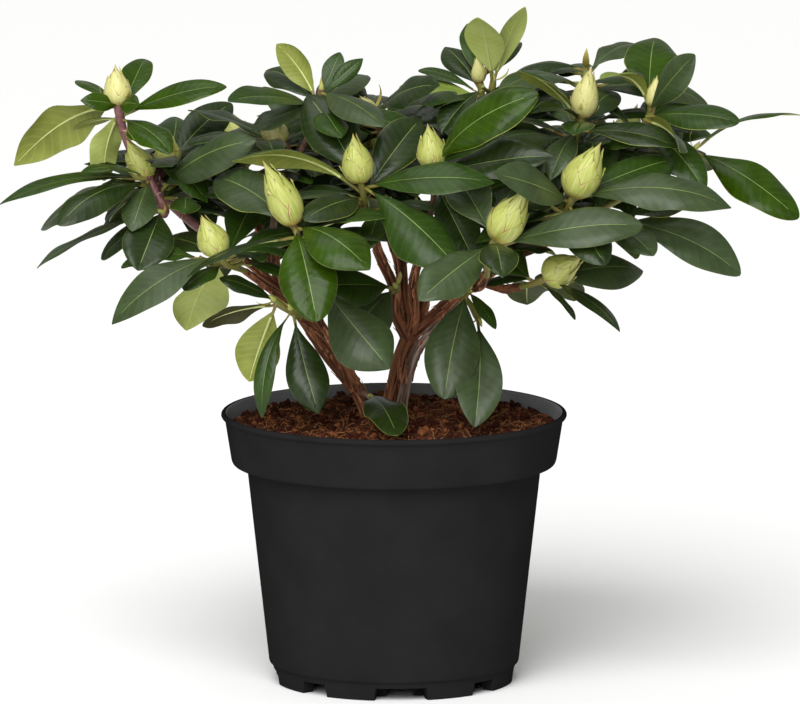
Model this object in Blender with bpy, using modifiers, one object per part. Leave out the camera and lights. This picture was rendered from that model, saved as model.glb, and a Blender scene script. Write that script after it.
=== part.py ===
"""A potted rhododendron in bud: a black nursery pot, its soil, three stems, their boughs and the crown.

The sizes below are in millimetres and angles in degrees. X runs to the right of the front view, Y away
from it and Z up, from the middle of the pot's flat underside. A bearing is an angle in plan: 0 points to
the right, 90 to the back, 180 to the left and 270 to the front. A rise is an angle above the level.
"""
import math
import random

import bmesh
import bpy
import numpy as np
from mathutils import Matrix
from mathutils.bvhtree import BVHTree

MM = 0.001
GAP = 0.3           # clear space between neighbouring solids
SPACE = 1.0         # clear space that a leaf keeps to everything it doesn't grow from

# Pot
POT_HEIGHT = 181.0
RIM_RADIUS = 115.0
RIM_BEAD = 4.6
BAND_TOP_RADIUS = 112.3
BAND_FOOT_RADIUS = 107.9
BAND_FOOT = 146.0
BODY_TOP_RADIUS = 97.9
BODY_FOOT_RADIUS = 83.1
BODY_FOOT = 13.0
FOOT_RADIUS = 79.4
FOOT_INNER_RADIUS = 71.0
FOOT_CLEARANCE = 8.4
FLOOR_TOP = 11.0
CENTRE_PAD_RADIUS = 28.0
WALL = 2.0
POT_SIDES = 36
NOTCH_COUNT = 8
NOTCH_WIDTHS = (36.0, 21.0)    # they take turns
NOTCH_PHASE = -86.5
NOTCH_DEPTH = 24.0
NOTCH_ROUND = 3.0

# Soil
SOIL_TOP = 175.0
SOIL_EDGE = 172.0
SOIL_FLAT_RADIUS = 60.0

# Stems and boughs
ROOT_FLARE = 2.6
FLARE_HEIGHT = 5.0
LIMB_STEP = 12.0
TWIG_FOOT_RADIUS = 2.5
TWIG_TIP_RADIUS = 1.9
TWIG_STATIONS = 5
TWIG_PULL = 0.35    # how long a twig keeps its first and its last direction
FORK_STEP = 0.2     # share of the stem between one twig's fork and the next
LONE_FORK = 0.3
SEAT_DEPTH = 1.0    # how far a mass's stem starts inside its bough's tip, before the cut

# Leaves: the stations lie along the middle line, from the foot of the stalk to the tip
LEAF_STATIONS = (0.0, 0.14, 0.42, 0.76)
RIDGE_HEIGHT = 0.9
LEAST_DROP = 0.6
STALK_HALF_WIDTH = 0.9
STALK_END = 0.16
OVAL_SHIFT = 1.12   # over 1 puts the widest place nearer the tip
OVAL_FULLNESS = 0.72
FIRST_LEAF = 2.5
LEAF_SPACING = 2.2
LEAF_CROWN = 0.09
BLADE_START = 0.30

# Leaves that the rule adds: their ranges of rise, length, face and arch, and width over length
FILL_RISE = (-22.0, 22.0)
FILL_LENGTH = (62.0, 84.0)
FILL_WIDTH = 0.37
FILL_FACE = (0.0, 25.0)
FILL_ARCH = (0.06, 0.14)
FILL_START = 0.1
GOLDEN_PART = 0.618034
NUDGES = ((0, 0), (0, 6), (0, -6), (7, 0), (-7, 0), (8, 8), (-8, 8), (8, -8), (-8, -8), (0, 13), (0, -13),
          (14, 0), (-14, 0), (12, 12), (-12, 12), (12, -12), (-12, -12), (0, 20), (0, -20), (22, 0), (-22, 0))

# Buds
BUD_SIDES = 5
BUD_PROFILE = ((0.0, 0.30), (0.18, 0.86), (0.45, 1.0), (0.80, 0.42))
BUD_SEAT = 2.0

# Each limb: the limb that it springs from, the points of its middle line, its radius at foot and tip
LIMBS = {
    "stem_left": (None, [(-15, 2, 175.3), (-19, 2, 185), (-28, 0, 201)], 5.2, 4.9),
    "stem_centre": (None, [(-3, 31, 175.3), (1, 29, 194), (5, 27, 212), (12, 25, 231)], 6.0, 5.6),
    "stem_grey": (None, [(4, 16, 175.3), (9, 15, 200), (15, 13, 219), (25, 9, 233)], 3.6, 3.1),
    "limb_left_front": ("stem_left", [(-28, 0, 200), (-37, -10, 223), (-48, -20, 240), (-54, -34, 256)],
                        4.2, 3.4),
    "limb_left_back": ("stem_left", [(-25, 1, 195), (-45, 7, 218), (-60, 12, 240), (-75, 10, 262),
                                     (-80, 14, 288)], 4.2, 3.0),
    "limb_up_left": ("stem_centre", [(10, 25.5, 225), (1, 23, 243), (0, 19, 260), (-8, 12, 280),
                                     (-14, 0, 300)], 4.1, 3.0),
    "limb_back_left": ("stem_centre", [(11, 25.5, 227), (7, 37, 248), (4, 50, 280), (-8, 60, 308)],
                       3.6, 2.8),
    "limb_up": ("stem_centre", [(11, 25, 227), (14, 15, 243), (13, 6, 265), (18, -8, 292)], 3.6, 2.8),
    "limb_back_right": ("stem_centre", [(12, 25, 230), (19, 33, 246), (25, 43, 272), (36, 52, 305)],
                        4.8, 3.0),
    "limb_right": ("stem_centre", [(11, 25, 228), (26, 22, 241), (41, 10, 256), (55, 2, 267), (74, -2, 284),
                                   (88, 0, 305)], 4.6, 3.1),
    "bough_left": ("limb_left_back", [(-74, 10, 260), (-98, 9, 280), (-127, 3, 302)], 2.8, 2.5),
    "bough_left_low": ("limb_left_back", [(-67, 11, 250), (-82, -8, 264), (-98, -34, 280)], 2.6, 2.3),
    "bough_left_back": ("limb_left_back", [(-77, 11, 270), (-86, 36, 288), (-94, 58, 302)], 2.6, 2.3),
    "bough_low_left": ("limb_left_front", [(-43, -16, 233), (-54, -24, 243), (-62, -34, 249)], 2.4, 2.2),
    "bough_back": ("limb_back_left", [(5, 43, 262), (0, 66, 278), (-8, 88, 298)], 2.6, 2.3),
    "bough_back_right": ("limb_back_right", [(26, 45, 278), (42, 66, 294), (56, 82, 310)], 2.6, 2.3),
    "bough_front_right": ("limb_right", [(50, 5, 263), (57, -24, 268), (61, -52, 280)], 2.8, 2.4),
    "bough_low_right": ("limb_right", [(56, 1.5, 268), (72, -18, 266), (84, -34, 270)], 2.6, 2.3),
    "bough_hanging": ("stem_grey", [(24, 9.5, 232), (36, -2, 246), (44, -12, 254)], 2.6, 2.3),
    "bough_right": ("limb_right", [(77, -2, 287), (92, -24, 300), (104, -44, 310)], 2.7, 2.4),
    "bough_far_right": ("limb_right", [(70, -1, 280), (100, 16, 291), (138, 22, 313)], 2.8, 2.4),
    "bough_far_back": ("bough_far_right", [(104, 17, 293), (122, 42, 304), (136, 62, 314)], 2.1, 2.0),
}


def leaf(bearing, rise, length, width, face=20, arch=0.08):
    """One leaf. Its face is how far its top is turned to the front, its arch a share of its length."""
    return dict(bearing=bearing, rise=rise, length=length, width=width, face=face, arch=arch)


def whorl(centre, axis, leaves=(), bud=(0, 0), fill=(0, 0, 0)):
    """The leaves round a shoot's tip, its bud's length and width, and the arc and count left to the rule."""
    return dict(centre=centre, axis=axis, leaves=list(leaves), bud=bud, fill=fill)


# Each mass of foliage: the limb that carries it, where its stem starts, and its whorls
MASSES = {
    "foliage_far_left": ("bough_left", (-127, 3, 302), [
        whorl((-182, -8, 389), (-0.05, -0.1, 0.95), bud=(28, 18), leaves=[
            leaf(157, -30, 89, 36, -55, 0.2), leaf(124, 14, 55, 14, 0), leaf(73, 30, 60, 20, 45),
            leaf(346, 18, 75, 25, 35), leaf(303, -13, 62, 24, 25), leaf(102, -56, 70, 30, 0),
            leaf(118, -24, 60, 22, -20), leaf(250, 2, 45, 22, 0), leaf(283, 4, 45, 20, 10),
            leaf(205, -22, 36, 22, 30)]),
        whorl((-163, -6, 339), (-0.45, -0.2, 0.87), bud=(33, 18), fill=(30, 90, 3), leaves=[
            leaf(194, -7, 103, 24, 12, 0.1), leaf(151, -17, 94, 30, 30), leaf(223, -12, 85, 30, 20, 0.12),
            leaf(240, -7, 58, 24, -60), leaf(168, 18, 52, 12, 20), leaf(327, 29, 86, 30, 50, 0.1)]),
        whorl((-150, 22, 344), (0.0, 0.3, 0.95), bud=(22, 18), fill=(100, 70, 2), leaves=[
            leaf(85, 23, 64, 28, 40), leaf(48, 30, 75, 26, 55)]),
        whorl((-153, -26, 318), (-0.5, -0.7, 0.4), fill=(20, 80, 3), leaves=[
            leaf(193, -15, 92, 20, 3, 0.05), leaf(255, -29, 66, 34, 50), leaf(178, -40, 54, 20, 20, 0.03)]),
    ]),
    "foliage_left": ("bough_left_low", (-98, -34, 280), [
        whorl((-116, -60, 297), (-0.3, -0.25, 0.92), bud=(30, 21), fill=(10, 90, 4), leaves=[
            leaf(207, -26, 88, 30, 35, 0.14), leaf(119, -48, 74, 38, -5), leaf(128, 4, 70, 26, 40)]),
    ]),
    "foliage_low_left": ("bough_low_left", (-62, -34, 249), [
        whorl((-68, -45, 257), (-0.3, -0.6, 0.7), fill=(60, 50, 2), leaves=[
            leaf(238, -60, 76, 14, 30, 0.2), leaf(298, -60, 72, 28, 60)]),
        whorl((-79, -46, 263), (-0.6, -0.4, 0.7), leaves=[
            leaf(232, -59, 58, 30, -75), leaf(165, -16, 55, 22, -35), leaf(190, 26, 46, 16, 30)]),
    ]),
    "foliage_front_left": ("limb_left_front", (-54, -34, 256), [
        whorl((-66, -86, 321), (-0.33, -0.2, 0.92), bud=(50, 22), fill=(345, 110, 5), leaves=[
            leaf(285, -43, 80, 38, 40, 0.12), leaf(312, -14, 76, 38, 30, 0.16), leaf(134, 20, 82, 34, 50),
            leaf(67, 9, 60, 24), leaf(204, -14, 82, 26, -5)]),
        whorl((-46, -52, 275), (0.5, -0.7, 0.3), leaves=[leaf(320, -40, 78, 42, 50)]),
    ]),
    "foliage_top_left": ("limb_left_back", (-80, 14, 288), [
        whorl((-48, 4, 396), (0.1, -0.1, 0.98), fill=(345, 90, 2), leaves=[
            leaf(302, -8, 80, 28, 25), leaf(73, 12, 52, 18, 50), leaf(50, 4, 56, 14, 50),
            leaf(241, 31, 52, 24, 0), leaf(125, 16, 62, 28, 40), leaf(222, 10, 78, 28, 25),
            leaf(273, -24, 50, 18, -60)]),
        whorl((-74, 9, 361), (-0.65, -0.3, 0.7), bud=(26, 17), fill=(110, 130, 4), leaves=[
            leaf(95, 15, 62, 30, 55), leaf(20, 5, 45, 16)]),
    ]),
    "foliage_front_centre": ("limb_up_left", (-14, 0, 300), [
        whorl((-22, -61, 345), (-0.18, -0.2, 0.96), bud=(36, 21), fill=(60, 110, 4), leaves=[
            leaf(117, 39, 82, 36, 60, 0.06), leaf(320, -29, 93, 42, 40), leaf(341, 6, 92, 30, 40, 0.1),
            leaf(46, 5, 48, 14), leaf(194, 16, 92, 26, -35, 0.14), leaf(49, 38, 74, 30, 60),
            leaf(230, -12, 60, 28, 30)]),
    ]),
    "foliage_low_centre": ("limb_up_left", (0, 19, 258), [
        whorl((1, 4, 264), (-0.2, -0.8, 0.5), leaves=[
            leaf(212, 6, 58, 34, 45), leaf(242, -14, 66, 34, 45)]),
    ]),
    "foliage_back_top": ("limb_back_left", (-8, 60, 308), [
        whorl((-15, 38, 377), (-0.5, -0.3, 0.8), bud=(16, 9), fill=(110, 130, 4), leaves=[
            leaf(87, 2, 64, 26, 50), leaf(312, 24, 70, 26, 45), leaf(108, 12, 66, 16, 40),
            leaf(55, 0, 75, 28, 40)]),
        whorl((-47, 92, 343), (-0.4, 0.5, 0.8), bud=(30, 18), fill=(0, 360, 9)),
    ]),
    "foliage_centre": ("limb_up", (18, -8, 292), [
        whorl((26, -51, 353), (-0.1, -0.15, 0.98), bud=(32, 20), fill=(30, 170, 6), leaves=[
            leaf(333, 36, 95, 34, 50, 0.15), leaf(322, 44, 80, 28, 55), leaf(340, 12, 85, 28, 50),
            leaf(8, -34, 74, 30, 35), leaf(335, -60, 58, 30, 45)]),
    ]),
    "foliage_top": ("limb_back_right", (36, 52, 305), [
        whorl((57, 39, 397), (-0.2, -0.1, 0.97), bud=(20, 10), fill=(270, 125, 4), leaves=[
            leaf(60, 22, 60, 16), leaf(100, 37, 60, 18, 40),
            leaf(117, 24, 56, 22, 40), leaf(140, 24, 50, 14, 20), leaf(165, 12, 56, 28, 20),
            leaf(232, 0, 50, 18, -10), leaf(202, -12, 50, 24, 30), leaf(352, -2, 46, 24, 45)]),
        whorl((66, 40, 397), (0.1, -0.1, 0.98), leaves=[
            leaf(253, 56, 60, 27, 0), leaf(318, 58, 64, 18, -20)]),
    ]),
    "foliage_front_right": ("bough_front_right", (61, -52, 280), [
        whorl((67, -96, 312), (0.5, -0.2, 0.83), bud=(45, 24), fill=(20, 90, 4), leaves=[
            leaf(117, 27, 66, 30, 60), leaf(232, -19, 84, 34, 45), leaf(276, -10, 60, 26, 10, 0.15),
            leaf(349, 11, 102, 32, 45, 0.1)]),
    ]),
    "foliage_hanging": ("bough_hanging", (44, -12, 254), [
        whorl((50, -22, 268), (0.4, -0.6, 0.6), leaves=[
            leaf(253, -50, 84, 36, 60), leaf(295, -23, 48, 10)]),
        whorl((56, -24, 246), (0.3, -0.6, -0.6), leaves=[leaf(268, -48, 86, 31, 55)]),
    ]),
    "foliage_low_right": ("bough_low_right", (84, -34, 270), [
        whorl((101, -52, 279), (0.8, -0.35, 0.5), bud=(32, 22), fill=(60, 90, 3), leaves=[
            leaf(318, -21, 72, 22, -5), leaf(31, 1, 80, 33, 45), leaf(134, -6, 52, 22, 10),
            leaf(324, -34, 38, 9, 0), leaf(155, 24, 46, 32, 40)]),
    ]),
    "foliage_right": ("bough_right", (104, -44, 310), [
        whorl((118, -76, 338), (0.37, -0.2, 0.9), bud=(44, 25), fill=(55, 110, 4), leaves=[
            leaf(31, 14, 82, 28, 50), leaf(350, 0, 106, 32, 40, 0.12), leaf(211, 21, 76, 32, 50),
            leaf(294, -29, 64, 30, 40)]),
        whorl((146, -51, 317), (0.8, -0.2, 0.4), fill=(75, 80, 2), leaves=[
            leaf(351, -21, 92, 32, 45, 0.13), leaf(30, -14, 78, 26, 40), leaf(305, -16, 56, 24, 30),
            leaf(60, -39, 55, 20)]),
    ]),
    "foliage_top_right": ("limb_right", (88, 0, 305), [
        whorl((124, -21, 382), (0.13, -0.1, 0.98), bud=(37, 18), fill=(90, 130, 5), leaves=[
            leaf(219, 36, 66, 26, 0), leaf(242, 17, 55, 22, 30), leaf(265, 3, 55, 22, 30),
            leaf(61, 20, 56, 24, 50), leaf(335, -4, 72, 24, 30), leaf(210, -50, 60, 30, 40)]),
        whorl((128, 51, 404), (0.1, 0.2, 0.97), fill=(150, 220, 6), leaves=[
            leaf(180, -3, 51, 22, 10, 0.15), leaf(128, -6, 60, 26, 20), leaf(50, 14, 62, 26, 10, 0.15),
            leaf(103, 9, 52, 28, 50)]),
        whorl((171, -3, 387), (0.1, -0.1, 0.98), bud=(22, 12), fill=(50, 130, 3), leaves=[
            leaf(219, 28, 50, 24, -10, 0.22), leaf(86, 28, 84, 36, 60), leaf(313, 45, 62, 24, 50),
            leaf(322, 3, 76, 28, 35), leaf(285, -19, 62, 26, -60), leaf(305, -25, 70, 24, 45),
            leaf(200, -14, 44, 24, 30)]),
    ]),
    "foliage_far_right": ("bough_far_right", (138, 22, 313), [
        whorl((200, 26, 353), (0.6, 0.2, 0.7), fill=(60, 190, 7), leaves=[
            leaf(323, -23, 94, 33, 45, 0.12), leaf(29, 13, 88, 20, -9, 0.12)]),
    ]),
    "foliage_back_left": ("bough_left_back", (-94, 58, 302), [
        whorl((-102, 97, 342), (-0.3, 0.4, 0.85), bud=(34, 20), fill=(0, 360, 10)),
        whorl((-146, 74, 318), (-0.7, 0.4, 0.5), bud=(30, 19), fill=(40, 250, 8)),
    ]),
    "foliage_back": ("bough_back", (-8, 88, 298), [
        whorl((-16, 133, 334), (-0.2, 0.5, 0.8), bud=(36, 21), fill=(0, 360, 10)),
        whorl((-65, 135, 294), (-0.6, 0.6, 0.4), fill=(60, 220, 8)),
    ]),
    "foliage_back_right": ("bough_back_right", (56, 82, 310), [
        whorl((63, 122, 351), (0.1, 0.4, 0.9), bud=(36, 21), fill=(0, 360, 10)),
        whorl((98, 116, 302), (0.5, 0.7, 0.3), fill=(300, 230, 8)),
    ]),
    "foliage_far_back_right": ("bough_far_back", (136, 62, 314), [
        whorl((152, 94, 346), (0.4, 0.5, 0.8), bud=(34, 20), fill=(300, 260, 10)),
    ]),
    "foliage_foot": ("stem_left", (-25, 1, 194), [
        whorl((-16, -14, 193), (0.4, -0.9, 0.0), leaves=[leaf(283, -8, 86, 28, 30)]),
    ]),
}

COLOURS = {
    "pot": ((0.012, 0.012, 0.013), 0.42),
    "soil": ((0.065, 0.022, 0.012), 0.95),
    "bark": ((0.11, 0.045, 0.03), 0.85),
    "foliage": ((0.028, 0.07, 0.018), 0.45),
}


def clear_scene():
    for item in list(bpy.data.objects):
        bpy.data.objects.remove(item, do_unlink=True)


def new_collection(name):
    collection = bpy.data.collections.new(name)
    bpy.context.scene.collection.children.link(collection)
    return collection


def unit(vector):
    vector = np.asarray(vector, dtype=float)
    return vector / np.linalg.norm(vector)


def direction(bearing, rise):
    """The unit vector at a bearing in plan and a rise above the level."""
    turn, lift = math.radians(bearing), math.radians(rise)
    return np.array([math.cos(lift) * math.cos(turn), math.cos(lift) * math.sin(turn), math.sin(lift)])


def finish(obj, look):
    """Gives an object its own material in the colour and roughness of the look."""
    colour, roughness = COLOURS[look]
    material = bpy.data.materials.new(obj.name)
    material.use_nodes = True
    shader = material.node_tree.nodes["Principled BSDF"]
    shader.inputs["Base Color"].default_value = (*colour, 1.0)
    shader.inputs["Roughness"].default_value = roughness
    obj.data.materials.clear()
    obj.data.materials.append(material)


def mesh_object(name, vertices, faces, collection):
    """A mesh object from vertices in millimetres."""
    mesh = bpy.data.meshes.new(name)
    mesh.from_pydata([tuple(MM * value for value in vertex) for vertex in vertices], [], faces)
    obj = bpy.data.objects.new(name, mesh)
    collection.objects.link(obj)
    return obj


def applied(obj, collection):
    """Replaces an object by a plain mesh of what its curve or modifiers make of it."""
    bpy.context.view_layer.update()
    graph = bpy.context.evaluated_depsgraph_get()
    mesh = bpy.data.meshes.new_from_object(obj.evaluated_get(graph))
    name = obj.name
    place = obj.matrix_world.copy()
    bpy.data.objects.remove(obj, do_unlink=True)
    result = bpy.data.objects.new(name, mesh)
    result.matrix_world = place
    collection.objects.link(result)
    return result


def weld(obj):
    shape = bmesh.new()
    shape.from_mesh(obj.data)
    bmesh.ops.remove_doubles(shape, verts=shape.verts, dist=0.01 * MM)
    shape.to_mesh(obj.data)
    shape.free()


def smooth_line(points, count):
    """Points on the smooth curve (Catmull-Rom) that runs through every given point."""
    points = np.asarray(points, dtype=float)
    padded = np.vstack([2 * points[0] - points[1], points, 2 * points[-1] - points[-2]])
    places = np.linspace(0.0, len(points) - 1.0, count)
    spans = np.minimum(places.astype(int), len(points) - 2)
    t = (places - spans)[:, None]
    a, b, c, d = (padded[spans + step] for step in range(4))
    cubic = (3 * b - a - 3 * c + d) * t ** 3
    return 0.5 * (2 * b + (c - a) * t + (2 * a - 5 * b + 4 * c - d) * t ** 2 + cubic)


def tube(name, line, radii, collection, resolution=2):
    """A closed tapering tube along a line, made from a curve with a bevel and welded caps."""
    curve = bpy.data.curves.new(name, "CURVE")
    curve.dimensions = "3D"
    curve.fill_mode = "FULL"
    curve.bevel_depth = MM
    curve.bevel_resolution = resolution
    curve.use_fill_caps = True
    spline = curve.splines.new("POLY")
    spline.points.add(len(line) - 1)
    for point, place, radius in zip(spline.points, line, radii):
        point.co = (*(MM * place), 1.0)
        point.radius = radius
    obj = bpy.data.objects.new(name, curve)
    collection.objects.link(obj)
    result = applied(obj, collection)
    weld(result)
    return result


def limb_line(name):
    """A limb's middle line and radii. A stem starts upright, so its foot is flat, and flares out there."""
    parent, points, foot_radius, tip_radius = LIMBS[name]
    length = sum(math.dist(a, b) for a, b in zip(points, points[1:]))
    line = smooth_line(points, max(5, round(length / LIMB_STEP)))
    radii = np.linspace(foot_radius, tip_radius, len(line))
    if parent is None:
        upright = line[0] + np.array([[0.0, 0.0, 0.5 * FLARE_HEIGHT]])
        line = np.vstack([line[:1], upright, line[1:]])
        radii = np.insert(radii, 0, foot_radius)
        radii = radii + ROOT_FLARE * np.exp(-(line[:, 2] - line[0, 2]) / FLARE_HEIGHT)
    return line, radii


def cut_clear(obj, cutters, collection):
    """Takes the swollen copies of its neighbours out of an object."""
    for cutter in cutters:
        change = obj.modifiers.new("clear_" + cutter.name, "BOOLEAN")
        change.operation = "DIFFERENCE"
        change.object = cutter
    return applied(obj, collection)


def tree_of(obj):
    """The search tree of an object's surface, in millimetres."""
    vertices = [vertex.co / MM for vertex in obj.data.vertices]
    return BVHTree.FromPolygons(vertices, [tuple(face.vertices) for face in obj.data.polygons])


def build_pot(collection, helpers):
    rim = POT_HEIGHT
    profile = [
        (0, FLOOR_TOP), (BODY_FOOT_RADIUS - WALL - 0.6, FLOOR_TOP),
        (BODY_TOP_RADIUS - WALL, BAND_FOOT + 1.6), (BAND_FOOT_RADIUS - WALL, BAND_FOOT + WALL + 1.2),
        (BAND_TOP_RADIUS - WALL, rim - 5.4), (RIM_RADIUS - 3.9, rim - 0.9),
        (RIM_RADIUS - 2.4, rim), (RIM_RADIUS - 0.9, rim - 0.6), (RIM_RADIUS, rim - 2.2),
        (RIM_RADIUS - 0.7, rim - 3.8), (BAND_TOP_RADIUS + 0.1, rim - RIM_BEAD),
        (BAND_FOOT_RADIUS + 0.2, BAND_FOOT + 3.0), (BAND_FOOT_RADIUS - 0.7, BAND_FOOT + 0.7),
        (BAND_FOOT_RADIUS - 2.8, BAND_FOOT), (BODY_TOP_RADIUS, BAND_FOOT),
        (BODY_FOOT_RADIUS, BODY_FOOT), (BODY_FOOT_RADIUS - 2.1, BODY_FOOT - 1.6),
        (FOOT_RADIUS, 0), (FOOT_INNER_RADIUS, 0), (FOOT_INNER_RADIUS - 0.6, FOOT_CLEARANCE),
        (CENTRE_PAD_RADIUS + 0.6, FOOT_CLEARANCE), (CENTRE_PAD_RADIUS, 0), (0, 0),
    ]
    pot = turned("pot", profile, collection)
    notches = new_collection("notch_cutters")
    helpers.children.link(notches)
    bpy.context.scene.collection.children.unlink(notches)
    for number in range(NOTCH_COUNT):
        bpy.ops.mesh.primitive_cube_add(size=1)
        cutter = bpy.context.active_object
        cutter.name = f"notch_{number + 1}"
        width = NOTCH_WIDTHS[number % 2]
        cutter.data.transform(Matrix.Diagonal((NOTCH_DEPTH * MM, width * MM, 2 * FOOT_CLEARANCE * MM, 1)))
        turn = math.radians(NOTCH_PHASE + number * 360 / NOTCH_COUNT)
        middle = (FOOT_RADIUS + FOOT_INNER_RADIUS) / 2 * MM
        cutter.location = (middle * math.cos(turn), middle * math.sin(turn), 0)
        cutter.rotation_euler = (0, 0, turn)
        cutter.hide_render = True
        cutter.display_type = "WIRE"
        rounding = cutter.modifiers.new("rounding", "BEVEL")
        rounding.width = NOTCH_ROUND * MM
        rounding.segments = 2
        for owner in list(cutter.users_collection):
            owner.objects.unlink(cutter)
        notches.objects.link(cutter)
    cut = pot.modifiers.new("drainage_notches", "BOOLEAN")
    cut.operation = "DIFFERENCE"
    cut.operand_type = "COLLECTION"
    cut.collection = notches
    pot = applied(pot, collection)
    finish(pot, "pot")
    return pot


def turned(name, profile, collection):
    """A turned solid: the profile runs outwards from the axis, round, and back to the axis."""
    vertices = [(radius * MM, 0.0, height * MM) for radius, height in profile]
    mesh = bpy.data.meshes.new(name)
    mesh.from_pydata(vertices, [(i, i + 1) for i in range(len(vertices) - 1)], [])
    obj = bpy.data.objects.new(name, mesh)
    collection.objects.link(obj)
    screw = obj.modifiers.new("turning", "SCREW")
    screw.steps = POT_SIDES
    screw.render_steps = POT_SIDES
    screw.use_merge_vertices = True
    screw.merge_threshold = 0.00001
    return obj


def build_soil(collection):
    inner = BODY_FOOT_RADIUS - WALL - 0.6 - GAP
    band = BAND_TOP_RADIUS - WALL - 1.0
    profile = [
        (0, SOIL_TOP), (SOIL_FLAT_RADIUS, SOIL_TOP), (band - 6, SOIL_EDGE + 0.4), (band, SOIL_EDGE),
        (BAND_FOOT_RADIUS - WALL - 2 * GAP, BAND_FOOT + WALL + 1.2 + 3 * GAP),
        (BODY_TOP_RADIUS - WALL - 2 * GAP, BAND_FOOT + 1.6 + 2 * GAP),
        (inner, FLOOR_TOP + GAP), (0, FLOOR_TOP + GAP),
    ]
    soil = applied(turned("soil", profile, collection), collection)
    finish(soil, "soil")
    return soil


def build_limbs(collection, helpers):
    """Makes each limb and a swollen copy of it, and takes the copies of earlier limbs out of later ones."""
    swollen = {}
    limbs = {}
    for name in LIMBS:
        line, radii = limb_line(name)
        resolution = 2 if name.startswith("stem") else 1
        limb = tube(name, line, radii, collection, resolution)
        longer = line.copy()
        longer[-1] += unit(line[-1] - line[-2]) * GAP
        copy = tube(name + "_clearance", longer, radii + GAP, helpers, resolution)
        tree = tree_of(limb)
        touched = [other for other in swollen.values() if tree.overlap(tree_of(other))]
        limbs[name] = cut_clear(limb, touched, collection)
        largest_shell(limbs[name])
        swollen[name] = copy
        finish(limbs[name], "bark")
    return limbs, swollen


def twig_line(start, heading, centre, axis):
    """A twig's middle line: it leaves along its heading and ends in the whorl's centre along its axis."""
    start, centre = np.asarray(start, float), np.asarray(centre, float)
    reach = np.linalg.norm(centre - start)
    first = start + unit(heading) * reach * TWIG_PULL
    second = centre - unit(axis) * reach * TWIG_PULL
    t = np.linspace(0.0, 1.0, TWIG_STATIONS)[:, None]
    return ((1 - t) ** 3 * start + 3 * (1 - t) ** 2 * t * first + 3 * (1 - t) * t ** 2 * second
            + t ** 3 * centre)


def mass_lines(name):
    """The middle lines of a mass: its stem to the first whorl, and a twig from the stem to each other one.

    Twigs leave the stem in turn, each at its own share of the way along it.
    """
    limb, start, whorls = MASSES[name]
    line, _ = limb_line(limb)
    nearest = np.argmin(np.linalg.norm(line - np.asarray(start), axis=1))
    at_tip = nearest == len(line) - 1
    heading = line[-1] - line[-2] if at_tip else np.asarray(whorls[0]["centre"], float) - start
    start = np.asarray(start, float) - (unit(heading) * SEAT_DEPTH if at_tip else 0.0)
    stem = twig_line(start, heading, whorls[0]["centre"], whorls[0]["axis"])
    lines = [stem]
    for number, item in enumerate(whorls[1:]):
        share = FORK_STEP * (number + 1) if len(whorls) > 2 else LONE_FORK
        place = share * (len(stem) - 1)
        before = int(place)
        fork = stem[before] + (stem[before + 1] - stem[before]) * (place - before)
        lines.append(twig_line(fork, stem[before + 1] - stem[before], item["centre"], item["axis"]))
    return lines


def leaf_foot(line, number):
    """The point on a twig's middle line where its leaf of this number stands, counted down from the tip."""
    steps = np.linalg.norm(np.diff(line, axis=0), axis=1)
    along = np.concatenate([[0.0], np.cumsum(steps)])
    place = max(along[-1] - FIRST_LEAF - LEAF_SPACING * number, 0.2 * along[-1])
    return np.array([np.interp(place, along, line[:, axis]) for axis in range(3)])


def leaf_frame(item):
    """The directions of a leaf's chord, of its side and of its normal."""
    chord = direction(item["bearing"], item["rise"])
    turned_up = math.radians(item["face"])
    facing = np.array([0.0, -math.sin(turned_up), math.cos(turned_up)])
    normal = unit(facing - facing.dot(chord) * chord)
    return chord, np.cross(normal, chord), normal


def half_width(t, width):
    """Half the leaf's width at a share t of its length: a stalk, then a pointed oval."""
    u = np.clip((t - STALK_END) / (1.0 - STALK_END), 0.0, 1.0)
    oval = width / 2 * np.sin(math.pi * u ** OVAL_SHIFT) ** OVAL_FULLNESS
    return np.maximum(oval, STALK_HALF_WIDTH * (1.0 - u))


def leaf_solid(item, start, swell=0.0, first=0.0):
    """A leaf as vertices and faces: roof-shaped sections along an arched middle line, and a tip.

    At a share t of the way the line is start + chord * length * t + normal * 4 * arch * length * t * (1 - t).
    A section has its ridge on top of the line, and its two edges to the sides and a little lower.
    """
    chord, side, normal = leaf_frame(item)
    length = item["length"]
    stations = [first] + [t for t in LEAF_STATIONS if t > first + 0.05]
    vertices = []
    for t in stations:
        middle = start + chord * length * t + normal * 4 * item["arch"] * length * t * (1 - t)
        half = float(half_width(t, item["width"])) + swell
        edge = middle - normal * (max(LEAF_CROWN * half, LEAST_DROP) + swell)
        vertices += [edge + side * half, middle + normal * (RIDGE_HEIGHT + swell), edge - side * half]
    vertices.append(start + chord * (length + swell))
    faces = [(2, 1, 0)]
    for ring in range(len(stations) - 1):
        for corner in range(3):
            a = 3 * ring + corner
            b = 3 * ring + (corner + 1) % 3
            faces.append((a, b, b + 3))
            faces.append((a, b + 3, a + 3))
    last = 3 * (len(stations) - 1)
    faces += [(last + corner, last + (corner + 1) % 3, last + 3) for corner in range(3)]
    return vertices, faces


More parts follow.
